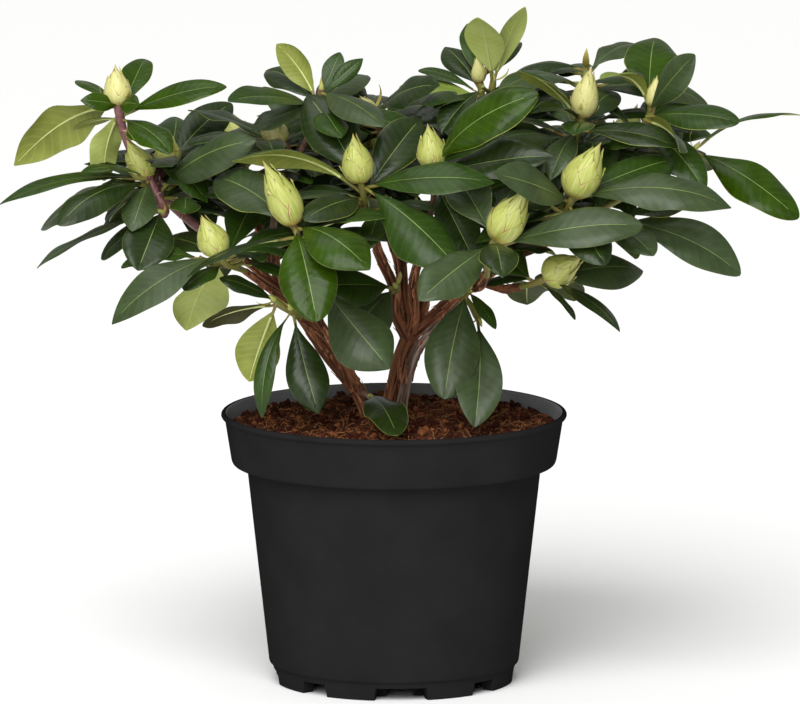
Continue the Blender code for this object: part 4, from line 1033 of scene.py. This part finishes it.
def leaf_frame(item):
    """The directions of a leaf's chord, of its side and of its normal."""
    chord = direction(item["bearing"], item["rise"])
    turned_up = math.radians(item["face"])
    facing = np.array([0.0, -math.sin(turned_up), math.cos(turned_up)])
    normal = unit(facing - facing.dot(chord) * chord)
    return chord, np.cross(normal, chord), normal


def rule_leaves(place, seed):
    """The leaves that the rule adds: bearings by the golden section of the arc, the rest drawn by seed."""
    draw = random.Random(seed)
    start, sweep, count = place["fill"]
    for turn in range(count):
        length = draw.uniform(*FILL_LENGTH)
        yield leaf(start + sweep * ((FILL_START + turn * GOLDEN_PART) % 1.0), draw.uniform(*FILL_RISE),
                   length, length * FILL_WIDTH, draw.uniform(*FILL_FACE), draw.uniform(*FILL_ARCH))


def settled(item, foot, tips):
    """The leaf turned as the solid has it, which is where its tip is a corner of the solid, or None."""
    for turn, lift in NUDGES:
        tried = dict(item, bearing=item["bearing"] + turn, rise=item["rise"] + lift)
        if tips.find(foot + leaf_frame(tried)[0] * tried["length"])[2] < TIP_ERROR:
            return tried
    return None


leaves = {name: [] for name in MASSES}
seed = 0
for name, (_, _, whorls) in MASSES.items():
    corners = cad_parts[name].data.vertices
    tips = KDTree(len(corners))
    for number, corner in enumerate(corners):
        tips.insert(corner.co / MM, number)
    tips.balance()
    for spray, (place, line) in enumerate(zip(whorls, mass_lines(name, TWIG_STATIONS))):
        seed += 1
        for number, item in enumerate(place["leaves"] + list(rule_leaves(place, seed))):
            item = settled(item, leaf_foot(line, number), tips)
            stand, item = OWN_PLACES.get((name, spray, number), (number, item))
            if item:
                leaves[name].append((leaf_foot(line, stand), item, spray, number))
print("leaves:", sum(len(items) for items in leaves.values()), "in", seed, "sprays")

# %% [markdown]
# ## Finer twigs
#
# Inside the crown the same rule goes one step further: short side twigs leave the upper part of each
# twig, and end in one to three small leaves. They fill the dark between the whorls and stay within the
# reach of the solids. A small leaf is left out where another leaf's middle line is already close.

# %% Finer twigs
TWIG_POINTS = 60
FINE_POINTS = 12
FINE_UPTURN = (0, 0, 0.5)    # added to a finer twig's heading at its tip
FINE_SHARES = (0.3, 0.45, 0.6, 0.75, 0.88)   # where finer twigs leave a twig
FINE_LENGTH = (8.0, 20.0)
FINE_RISE = (0, 35)
FINE_LEAVES = 3
FINE_TURN = 75           # the angle between two leaves of a finer twig,
FINE_STRAY = (-20, 20)   # and how far each strays from it
FINE_LEAF = (36.0, 56.0)
FINE_WIDTH = 0.42
FINE_LEAF_RISE = (-35, 12)
FINE_FACE = (0, 30)
FINE_LOWEST = 286.0      # no finer twig ends lower than this, where the photograph shows sky,
FINE_FRONT = -62.0       # nor nearer to the front,
FINE_SIDE = 165.0        # nor further out to a side
FINE_TIP = 268.0         # a small leaf's tip stays above this
FINE_ROOM = 4.5          # and its middle line this far from those of others
FINE_SPRAY = 10          # the finer twigs' leaves count as sprays from this number on


def middle_points(item, foot):
    """Points along a leaf's arched middle line."""
    chord, _, normal = leaf_frame(item)
    t = np.linspace(0.3, 1.0, 7)[:, None]
    return foot + item["length"] * (chord * t + normal * 4 * item["arch"] * t * (1 - t))


def small_leaf(bearing, draw):
    """A leaf of a finer twig, drawn round a bearing."""
    length = draw.uniform(*FINE_LEAF)
    return leaf(bearing + draw.uniform(*FINE_STRAY), draw.uniform(*FINE_LEAF_RISE), length,
                length * FINE_WIDTH, draw.uniform(*FINE_FACE), draw.uniform(*FILL_ARCH))


taken = np.vstack([middle_points(item, foot) for items in leaves.values() for foot, item, _, _ in items])
fine_lines = {name: [] for name in MASSES}
for index, name in enumerate(MASSES):
    draw = random.Random(900 + index)
    for line in mass_lines(name, TWIG_POINTS):
        for share in FINE_SHARES:
            start = line[round(share * (TWIG_POINTS - 1))]
            turn = draw.uniform(0, 360)
            heading = direction(turn, draw.uniform(*FINE_RISE))
            end = start + heading * draw.uniform(*FINE_LENGTH)
            fine = twig_line(start, heading, end, heading + FINE_UPTURN, FINE_POINTS)
            if end[2] < FINE_LOWEST or end[1] < FINE_FRONT or abs(end[0]) > FINE_SIDE:
                continue
            kept = []
            for number in range(FINE_LEAVES):
                item = small_leaf(turn + (number - 1) * FINE_TURN, draw)
                foot = leaf_foot(fine, 0.5 * number)
                points = middle_points(item, foot)
                gaps = np.linalg.norm(points[:, None] - taken, axis=-1)
                if gaps.min() > FINE_ROOM and points[-1, 2] > FINE_TIP:
                    taken = np.vstack([taken, points])
                    kept.append((foot, item, FINE_SPRAY + len(fine_lines[name]), number))
            if kept:
                leaves[name].extend(kept)
                fine_lines[name].append(fine)
print("finer twigs:", sum(map(len, fine_lines.values())), "leaves:", sum(map(len, leaves.values())))

# %% [markdown]
# ## Leaves
#
# A leaf is a thin closed shell. Along it runs the arched middle line of the solid; across it the outline
# is the solid's pointed oval. Each blade is bent by its own draw of numbers: it arches or folds across,
# rolls its edges down, waves, twists and nods at the tip. A pale line marks the midrib on top, the edge
# is pale too, and below the midrib is a tapering tube that runs on into the stalk.

# %% Leaves: the shape of one leaf
STALK_END = 0.11
BLADE_END = 0.997
RIB_END = 0.96
OVAL_SHIFT = 1.12
OVAL_FULLNESS = 0.72
LEAST_HALF = 0.25
BLADE_STATIONS = 26
SMALL_STATIONS = 18      # for leaves no longer than SMALL_MM
SMALL_MM = 58.0
BLADE_MM = 0.55
TOP_ACROSS = (1.0, 0.98, 0.82, 0.6, 0.36, 0.14, 0.016)
BELOW_ACROSS = (-0.9, -0.62, -0.3, 0.0, 0.3, 0.62, 0.9)
SIDE_VEINS = 13
VEIN_SLANT = 0.13
GROOVE_MM = 0.4          # depth and half width of the groove over the midrib
GROOVE_HALF = 1.1
RIB_RADII = ((0.0, 0.08, 0.2, 0.6, 1.0), (1.3, 1.1, 0.95, 0.55, 0.2))    # shares along, radii
RIB_STATIONS = 17
RIB_SIDES = 7
FULL_RIB_WIDTH = 26      # narrower leaves have a thinner rib

# Each leaf draws its own bends within these ranges, as shares of its length or half width
TWIST = (-16, 16)        # in degrees, about TWIST_CENTRE
TWIST_CENTRE = 0.4
SICKLE = (-0.035, 0.035)
NOD = (0.0, 0.6)         # how far the last quarter bends down
NOD_FROM = 0.75
SHIFT = (0.0, 0.35)      # towards the tip, of the widest place
FULL_FOOT = (0.0, 0.25)
FULL_TIP = (-0.25, 0.2)
CAMBER = (-0.06, 0.3)
FOLD = (-0.22, 0.1)
ROLL = (0.0, 0.2)        # how far the edges roll down, past ROLL_FROM of the half width
ROLL_FROM = 0.6
WAVE_HEIGHT = (0.0, 0.14)
WAVE_COUNT = (1.0, 2.8)
WAVE_PHASE = (0, 6.28)


def drawn(draw, *ranges):
    """One number from each range."""
    return [draw.uniform(*limits) for limits in ranges]


def leaf_shape(item, foot, draw):
    """What bends one leaf: functions of the share t along it, for its middle line and its axes."""
    chord, side, normal = leaf_frame(item)
    twist, sickle, nod = drawn(draw, TWIST, SICKLE, NOD)

    def middle(t):
        """Points of the middle line: foot + length * (chord * t + the bends)."""
        t = t[:, None]
        rise = 4 * item["arch"] * t * (1 - t) - nod * np.clip(t - NOD_FROM, 0, 1) ** 2
        return foot + item["length"] * (chord * t + normal * rise + side * 4 * sickle * t * (1 - t))

    def turned_axes(t):
        """The directions across the blade and up from it, which twist along it."""
        turn = math.radians(twist) * (t - TWIST_CENTRE)[:, None]
        ahead = unit(np.gradient(middle(t), axis=0))
        across = side * np.cos(turn) + normal * np.sin(turn)
        across = unit(across - np.einsum("ij,ij->i", across, ahead)[:, None] * ahead)
        return across, np.cross(ahead, across)

    return middle, turned_axes


def half_width(t, width, draw):
    """Half the blade's width at a share t of the leaf: a pointed oval past the stalk, more or less full."""
    u = np.clip((t - STALK_END) / (1.0 - STALK_END), 0.0, 1.0)
    shift, foot, tip = drawn(draw, SHIFT, FULL_FOOT, FULL_TIP)
    fullness = OVAL_FULLNESS + tip * u ** 3 + foot * (1 - u) ** 3
    return np.maximum(width / 2 * np.sin(math.pi * u ** (OVAL_SHIFT + shift)) ** fullness, LEAST_HALF)


def cross_section(v, half, t, draw):
    """The blade's height over its middle line at shares v of its half width: half * (bends of v)."""
    camber, fold, roll, height, count, phase = drawn(draw, CAMBER, FOLD, ROLL, WAVE_HEIGHT, WAVE_COUNT,
                                                     WAVE_PHASE)
    wave = height * np.sin(math.tau * count * t + phase)
    bends = v ** 2 * (wave[:, None] * np.sign(v) - camber) - fold * np.abs(v)
    return half * (bends - roll * np.clip((np.abs(v) - ROLL_FROM) / (1 - ROLL_FROM), 0, 1) ** 2)


def make_leaf(item, foot, seed):
    """A leaf's blade: its sections and their pattern coordinates. And the sections of its rib."""
    draw = np.random.default_rng(seed)
    middle, turned_axes = leaf_shape(item, foot, draw)
    stations = np.linspace(0, 1, BLADE_STATIONS if item["length"] > SMALL_MM else SMALL_STATIONS)
    t = STALK_END + (BLADE_END - STALK_END) * (1 - (1 - stations) ** 1.25)
    half = half_width(t, item["width"], draw)[:, None]
    v = np.array([*TOP_ACROSS, *(-share for share in TOP_ACROSS[::-1]), *BELOW_ACROSS])
    height = cross_section(v, half, t, draw)
    height = height - GROOVE_MM * np.exp(-(v * half / GROOVE_HALF) ** 2) * np.clip(half / 6, 0, 1)
    below = np.arange(len(v)) >= 2 * len(TOP_ACROSS)
    height = height - BLADE_MM * below * np.sqrt(1 - v ** 2)
    across, up = turned_axes(t)
    blade = middle(t)[:, None] + across[:, None] * (v * half)[..., None] + up[:, None] * height[..., None]
    veins = SIDE_VEINS * (t[:, None] - VEIN_SLANT * np.abs(v))
    place = np.stack([2.0 * np.abs(v) + 0 * half, veins], axis=-1)
    s = np.linspace(0, RIB_END, RIB_STATIONS)
    rib_radii = np.interp(s, *RIB_RADII) * min(1.0, item["width"] / FULL_RIB_WIDTH)
    _, up = turned_axes(s)
    below_top = (GROOVE_MM + 0.05 + rib_radii) * np.clip(s / STALK_END, 0.3, 1)
    rib_line = middle(s) - up * below_top[:, None]
    return blade, place + (0.0, 17.3 * (seed % 7)), tube_sections(rib_line, rib_radii, RIB_SIDES)


print("points on a large blade:", BLADE_STATIONS * (2 * len(TOP_ACROSS) + len(BELOW_ACROSS)))

# %% Leaves: their looks
MIDRIB_END = 0.8
STALK_QUADS = 3          # this much of a rib has the look of the stalk
# The grey top's tints paint part of the sheen
TOP_CHANCES = {"deep": 0.4, "green": 0.36, "grey": 0.24}
# Most undersides take the dark olive of painted shade, for the crown's shaded inside
UNDER_CHANCES = {"dull": 0.8, "olive": 0.2}

# The leaves that take no look by chance: the looks of their top and underside, then the mass, spray and
# number of each, or only the mass and spray for a whole spray
# Some of these looks paint light and shade: the pale underside paints light, the dark olive one paints
# shade, and the grey top part of the sheen
OWN_LOOKS = {
    ("bright", "olive"): [("foliage_far_left", 0), ("foliage_far_right", 0, 0), ("foliage_far_right", 0, 1),
                          ("foliage_top_right", 2, 1), ("foliage_front_centre", 0, 3),
                          ("foliage_centre", 0, 0)],
    ("bright", "dull"): [("foliage_front_left", 0, 0), ("foliage_front_left", 0, 1)],
    ("young", "olive"): [("foliage_low_left", 1, 0), ("foliage_top_left", 0, 3),
                         ("foliage_top_right", 2, 0)],
    ("young", "pale"): [("foliage_top", 0, 4), ("foliage_top", 1, 0), ("foliage_top", 1, 1)],
    ("green", "pale"): [("foliage_far_left", 0, 5), ("foliage_left", 0, 1)],
    ("green", "brown"): [("foliage_low_left", 1, 1)],
    ("green", "olive"): [("foliage_front_centre", 0, 4), ("foliage_top_right", 0, 0),
                         ("foliage_top_right", 2, 3), ("foliage_top_right", 2, 4)],
    ("green", "dull"): [("foliage_right", 0, 0), ("foliage_front_centre", 0, 1),
                        ("foliage_front_centre", 0, 2)],
    ("deep", "dull"): [("foliage_top_left", 0, 4)],
    ("grey", "olive"): [("foliage_top_right", 2, 2)],
    ("grey", "dull"): [("foliage_far_left", 1, 5), ("foliage_left", 0, 0), ("foliage_front_left", 1, 0),
                       ("foliage_hanging", 0, 0), ("foliage_hanging", 1, 0), ("foliage_low_right", 0, 1),
                       ("foliage_front_right", 0, 1), ("foliage_front_right", 0, 3),
                       ("foliage_right", 0, 1), ("foliage_right", 0, 2), ("foliage_right", 1, 0)],
}
LOOKS_BY_PLACE = {place: looks for looks, places in OWN_LOOKS.items() for place in places}


def looks_of(name, spray, number, seed):
    """The looks of a leaf's top and underside: its own, or dealt out by the chances."""
    for place in ((name, spray, number), (name, spray)):
        if place in LOOKS_BY_PLACE:
            return LOOKS_BY_PLACE[place]
    draw = random.Random(1000 + seed)
    return [draw.choices(list(chances), chances.values())[0] for chances in (TOP_CHANCES, UNDER_CHANCES)]


def look_grid(rows, columns, top, underside):
    """The look of each quad of a blade: rows along it, columns round it."""
    top_quads = 2 * len(TOP_ACROSS) - 1
    grid = np.full((rows - 1, columns), LEAF_LOOKS[underside])
    grid[:, 1:top_quads - 1] = LEAF_LOOKS[top]
    grid[:round(MIDRIB_END * rows), top_quads // 2] = LEAF_LOOKS["midrib"]
    return grid


print("places with a look of their own:", len(LOOKS_BY_PLACE))

# %% Leaves: the pieces
SIDE_LIMITS = (-40, 63)  # where the middle and the right piece of the crown begin

groups = {"left": [], "middle": [], "right": []}
for name, (_, _, whorls) in MASSES.items():
    middle_x = sum(place["centre"][0] for place in whorls) / len(whorls)
    groups[list(groups)[sum(middle_x >= limit for limit in SIDE_LIMITS)]].append(name)
for side, names in groups.items():
    blades, places, ribs = [], [], []
    for name in names:
        for foot, item, spray, number in leaves[name]:
            seed = 997 * list(MASSES).index(name) + 23 * spray + number
            blade, place, rib = make_leaf(item, foot, seed)
            blades.append(loft(blade, look_grid(*blade.shape[:2], *looks_of(name, spray, number, seed))))
            places.append(place.reshape(-1, 2))
            ribs.append(loft(rib, (np.arange(RIB_STATIONS - 1) < STALK_QUADS)[:, None]))
    blade_piece = make_piece(f"leaves_{side}", blades, LEAF_FINISHES.values(), crease=75,
                             uv=np.vstack(places))
    rib_piece = make_piece(f"ribs_{side}", ribs, [rib_pale, stalk_green])
    for piece in (blade_piece, rib_piece):
        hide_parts(*names)

# %% [markdown]
# ## Twigs
#
# A shoot is green to brown and thin-barked, thickens below each whorl, and carries fine rings where the
# scales of last year's bud fell off. The young purple shoots also carry the pale crescents that fallen
# leaves left.

# %% Twigs
TWIG_SIDES = 14
FOOT_RADII = (2.5, 2.0)  # of a mass's stem, and of its other twigs
SEAT_SHARE = 0.88        # a mass's stem is at most this thick beside the tip of its limb
TIP_RADIUS = 1.9
TIP_SWELLING = 0.55
RING_EVERY = 1.6
RING_HEIGHT = 0.16
UNEVENNESS = 0.12
FINE_RADII = (1.5, 1.3)
FINE_SIDES = 10
STOUT = 1.45             # the purple shoots are this much thicker than the others
SCAR_EVERY = 6.5
SCAR_FIRST = 12
SCAR_TURN = 2.4
SCAR_HALF = 0.7          # half the angle that a scar takes round its shoot
SHOOTS = {"brown": shoot_brown, "purple": shoot_purple, "green": shoot_green}
PURPLE_MASSES = ("foliage_far_left",)
BROWN_MASSES = ("foliage_front_left", "foliage_top_left", "foliage_back_top", "foliage_centre",
                "foliage_foot")


def shoot_of(name):
    """The look of a mass's shoots."""
    if name in PURPLE_MASSES:
        return "purple"
    return "brown" if name in BROWN_MASSES else "green"


def shoot_radii(line, foot_radius, seed):
    """Radii of a shoot at each point and turn: a taper, a swelling at its tip, rings and unevenness."""
    along = length_along(line)
    left = along[-1] - along
    radii = np.linspace(foot_radius, TIP_RADIUS, len(line))
    radii = radii + TIP_SWELLING * np.exp(-((left - 5) / 5) ** 2)
    rings = RING_HEIGHT * np.maximum(0, np.sin(math.tau * along / RING_EVERY)) ** 4
    radii = radii + rings * np.exp(-((left - 0.55 * along[-1]) / 6) ** 2)
    turn = turns_round(TWIG_SIDES)
    along = along[:, None]
    places = np.stack([2 * np.cos(turn) + 0 * along, 2 * np.sin(turn) + 0 * along,
                       0.35 * along + 0 * turn], axis=-1)
    return radii[:, None] + UNEVENNESS * waves(places, 2.4, seed)


def make_scar(line, radius, point, turn):
    """A crescent that a fallen leaf left: a thin tube bent round the shoot, thickest in its middle."""
    ahead, across, beside = (axes[point] for axes in frames_along(line))
    bend = np.linspace(-SCAR_HALF, SCAR_HALF, 9)
    arc = line[point] + spokes(across, beside, turn + bend) * (radius + 0.05)
    arc = arc - ahead * (1.1 * np.cos(2 * bend))[:, None]
    return tube_sections(arc, 0.12 + 0.34 * np.cos(2 * bend), 6)


scars = []
shoots = {look: [] for look in SHOOTS}
for name, (limb, _, _) in MASSES.items():
    look = shoot_of(name)
    stem_radius = min(FOOT_RADII[0], SEAT_SHARE * LIMBS[limb][3])
    for number, line in enumerate(mass_lines(name, TWIG_POINTS)):
        radii = shoot_radii(line, stem_radius if number == 0 else FOOT_RADII[1], 700 + number)
        radii = radii * (STOUT if look == "purple" else 1.0)
        shoots[look].append(loft(tube_sections(line, radii, TWIG_SIDES)))
        if look == "purple":
            along = np.linspace(0, length_along(line)[-1], TWIG_POINTS)
            for count, place in enumerate(np.arange(SCAR_FIRST, along[-1] - 5, SCAR_EVERY)):
                point = np.argmin(np.abs(along - place))
                scars.append(loft(make_scar(line, radii[point].mean(), point, SCAR_TURN * count)))
    for fine in fine_lines[name]:
        shoots[look].append(loft(tube_sections(fine, np.linspace(*FINE_RADII, FINE_POINTS), FINE_SIDES)))
for look, parts in shoots.items():
    piece = make_piece(f"twigs_{look}", parts, [SHOOTS[look]])
    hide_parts(*[name for name in MASSES if shoot_of(name) == look])
scar_piece = make_piece("leaf_scars", scars, [leaf_scar])
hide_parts(*PURPLE_MASSES)

# %% [markdown]
# ## Flower buds
#
# A bud is a smooth spindle in a few large scales. Each scale is a pointed shield that hugs the spindle:
# it starts near its foot, by the golden angle from the one before, and the last ones reach past its end
# as free points. Narrow bracts stand round the foot. A whorl without a flower bud ends in a small leaf
# bud.

# %% Buds and their scales
GOLDEN_ANGLE = math.radians(137.508)
LEAF_BUD = (8.5, 3.8)    # length and width
FULL_WIDTH = 22          # the bud for which the heights below are meant
FLOWER_WIDTH = 12        # wider buds are flower buds, with more scales and bracts
BUD_FULLNESS = 0.47
BUD_LEAN = (-0.09, 0.09)
BUD_GRID = 14
SCALES = (13, 6)         # of a flower bud, of a leaf bud
SCALE_ROWS = 12
SCALE_LOOP = ((-1, 0.1), (-0.92, 0.3), (-0.5, 0.42), (0, 0.55), (0.5, 0.42), (0.92, 0.3), (1, 0.1),
              (0.5, -0.25), (0, -0.2), (-0.5, -0.25))    # across, height
SCALE_EDGE = (0, 5)      # the quads of that loop which are its edges
EDGE_FROM = (0.1, 0.6)   # the brown edge begins somewhere in this part of a scale
SCALE_TOP = (-0.03, 0.06)    # how much lower or higher than the rule a scale ends
SCALE_HALF = (0.85, 1.15)    # half the angle that a scale takes round the bud
FREE_CHANCE = 0.4
FREE_RANK = 0.75         # all scales above this rank have a free tip
FREE_TIP = (0.5, 2.2)
CLOSED_TIP = 0.2


def bud_axes(axis):
    """The unit vector along a bud's axis, and two square to it."""
    along = unit(axis)
    side = unit(np.cross(along, (0.0, 1.0, 0.0)))
    return along, side, np.cross(along, side)


def bud_radius(share, width):
    """A bud's radius at a share s of its length: 0.47 * width * sin(pi * s ** 0.6) ** (0.85 + 0.5 * s)."""
    share = np.clip(share, 0.0, 1.0)
    return BUD_FULLNESS * width * np.sin(math.pi * share ** 0.6) ** (0.85 + 0.5 * share)


def bud_point(place, turn, share, radius, bend):
    """Points of a bud in its own shape: along its axis, which bends to one side towards its tip."""
    along, side, beside = bud_axes(place["axis"])
    foot = np.asarray(place["centre"], float) - along * 2.0
    lean = side * bend[0] + beside * bend[1]
    share = share[..., None]
    middle = foot + (along * share + lean * share ** 2) * place["bud"][0]
    return middle + spokes(side, beside, turn) * radius[..., None]


def make_bud(place, seed):
    """The spindle of a bud and its scales: for each, its sections, their pattern places and their looks.

    A scale's rank is 0 for the lowest and 1 for the last, and u runs from its foot to its tip.
    """
    draw = np.random.default_rng(seed)
    width = place["bud"][1]
    size = width / FULL_WIDTH
    bend = draw.uniform(*BUD_LEAN, 2)
    share = np.linspace(0.02, 1.0, BUD_GRID)[:, None] + np.zeros(BUD_GRID)
    turn = turns_round(BUD_GRID) + 0 * share
    yield bud_point(place, turn, share, bud_radius(share, width) + 0.05, bend), turn, share, 0
    count = SCALES[width <= FLOWER_WIDTH]
    loop = np.array(SCALE_LOOP)
    for number in range(count):
        rank = number / (count - 1)
        low = 0.03 + 0.3 * rank ** 1.3
        high = 0.42 + 0.52 * rank ** 0.8 + draw.uniform(*SCALE_TOP)
        half_turn = draw.uniform(*SCALE_HALF) * (1 - 0.25 * rank)
        is_free = draw.uniform() < FREE_CHANCE or rank > FREE_RANK
        free = size * (draw.uniform(*FREE_TIP) if is_free else CLOSED_TIP)
        u = np.linspace(0, 1, SCALE_ROWS)[:, None]
        turn = number * GOLDEN_ANGLE + loop[:, 0] * half_turn * (1 - u ** 2.6) ** 0.85
        share = low + (high - low) * (u - 0.1 * loop[:, 0] ** 2 * u)
        lift = 0.15 + 0.8 * u + loop[:, 1] * (1 - 0.5 * u)
        radius = bud_radius(share, width) + size * lift + free * u ** 6
        rows = np.arange(SCALE_ROWS - 1)[:, None]
        edge = np.isin(np.arange(len(loop)), SCALE_EDGE) & (rows >= SCALE_ROWS * draw.uniform(*EDGE_FROM))
        yield bud_point(place, turn, share, radius, bend), turn, share, np.where(edge, 2, 0)


print("radius of a large bud's spindle:", bud_radius(np.linspace(0, 1, 50), FULL_WIDTH).max().round(1), "mm")

# %% Bracts and the pieces of the buds
BRACTS = (4, 1)          # of a flower bud, of a leaf bud
BRACT_POINTS = 9
BRACT_LENGTH = (6, 12)
BRACT_SPREAD = (0.6, 1.1)
BRACT_HALF = 0.2
BRACT_LOOP = ((-1, 0.0), (0, 0.35), (1, 0.0), (0, -0.05))    # across, height
PALE_BUDS = {("foliage_top_left", 1), ("foliage_top", 0), ("foliage_back_top", 0), ("foliage_far_left", 0),
             ("foliage_top_right", 0), ("foliage_top_right", 2)}


def make_bract(place, turn, length, seed):
    """A narrow pointed bract beside a bud: it rises along the bud and bends outwards."""
    draw = np.random.default_rng(seed)
    along, side, beside = bud_axes(place["axis"])
    out = spokes(side, beside, np.array(turn))
    around = np.cross(along, out)
    t = np.linspace(0, 1, BRACT_POINTS)[:, None]
    line = np.asarray(place["centre"], float) + along * length * t ** 1.5
    line = line + out * (1.5 + length * draw.uniform(*BRACT_SPREAD) * np.sin(1.6 * t))
    half = BRACT_HALF * length * np.sin(math.pi * np.clip(0.2 + 0.79 * t, 0, 1)) ** 0.9
    return np.stack([line + around * half * share + out * height for share, height in BRACT_LOOP], axis=1)


scales, places, bracts = [], [], []
for index, (name, (_, _, whorls)) in enumerate(MASSES.items()):
    for number, place in enumerate(whorls):
        seed = 31 * index + number
        place = dict(place, bud=place["bud"] if place["bud"][0] else LEAF_BUD)
        pale = int((name, number) in PALE_BUDS)
        for sections, turn, share, look in make_bud(place, seed):
            scales.append(loft(sections, np.maximum(look, pale)))
            places.append(np.stack([turn, share], axis=-1).reshape(-1, 2))
        draw = random.Random(seed)
        for turn in range(BRACTS[place["bud"][1] <= FLOWER_WIDTH]):
            bract = make_bract(place, turn * GOLDEN_ANGLE + seed, draw.uniform(*BRACT_LENGTH), seed + turn)
            bracts.append(loft(bract))
bud_piece = make_piece("bud_scales", scales, [bud_green, bud_pale, bud_edge], crease=60,
                       uv=np.vstack(places))
bract_piece = make_piece("bracts", bracts, [bract_skin])
for piece in (bud_piece, bract_piece):
    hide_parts(*MASSES)

# %% [markdown]
# ## Floor
#
# The floor is a stage prop, not part of the plant.

# %% Floor
FLOOR_HALF = 15.0

floor_mesh = bpy.data.meshes.new("floor")
corners = [(x * FLOOR_HALF, y * FLOOR_HALF, 0) for x, y in ((-1, -1), (1, -1), (1, 1), (-1, 1))]
floor_mesh.from_pydata(corners, [], [(0, 1, 2, 3)])
floor_paint, _ = new_finish("pale_floor", "#fbfbfb", 0.9, Specular_IOR_Level=0.1)
floor_mesh.materials.append(floor_paint)
add_object("floor", floor_mesh)
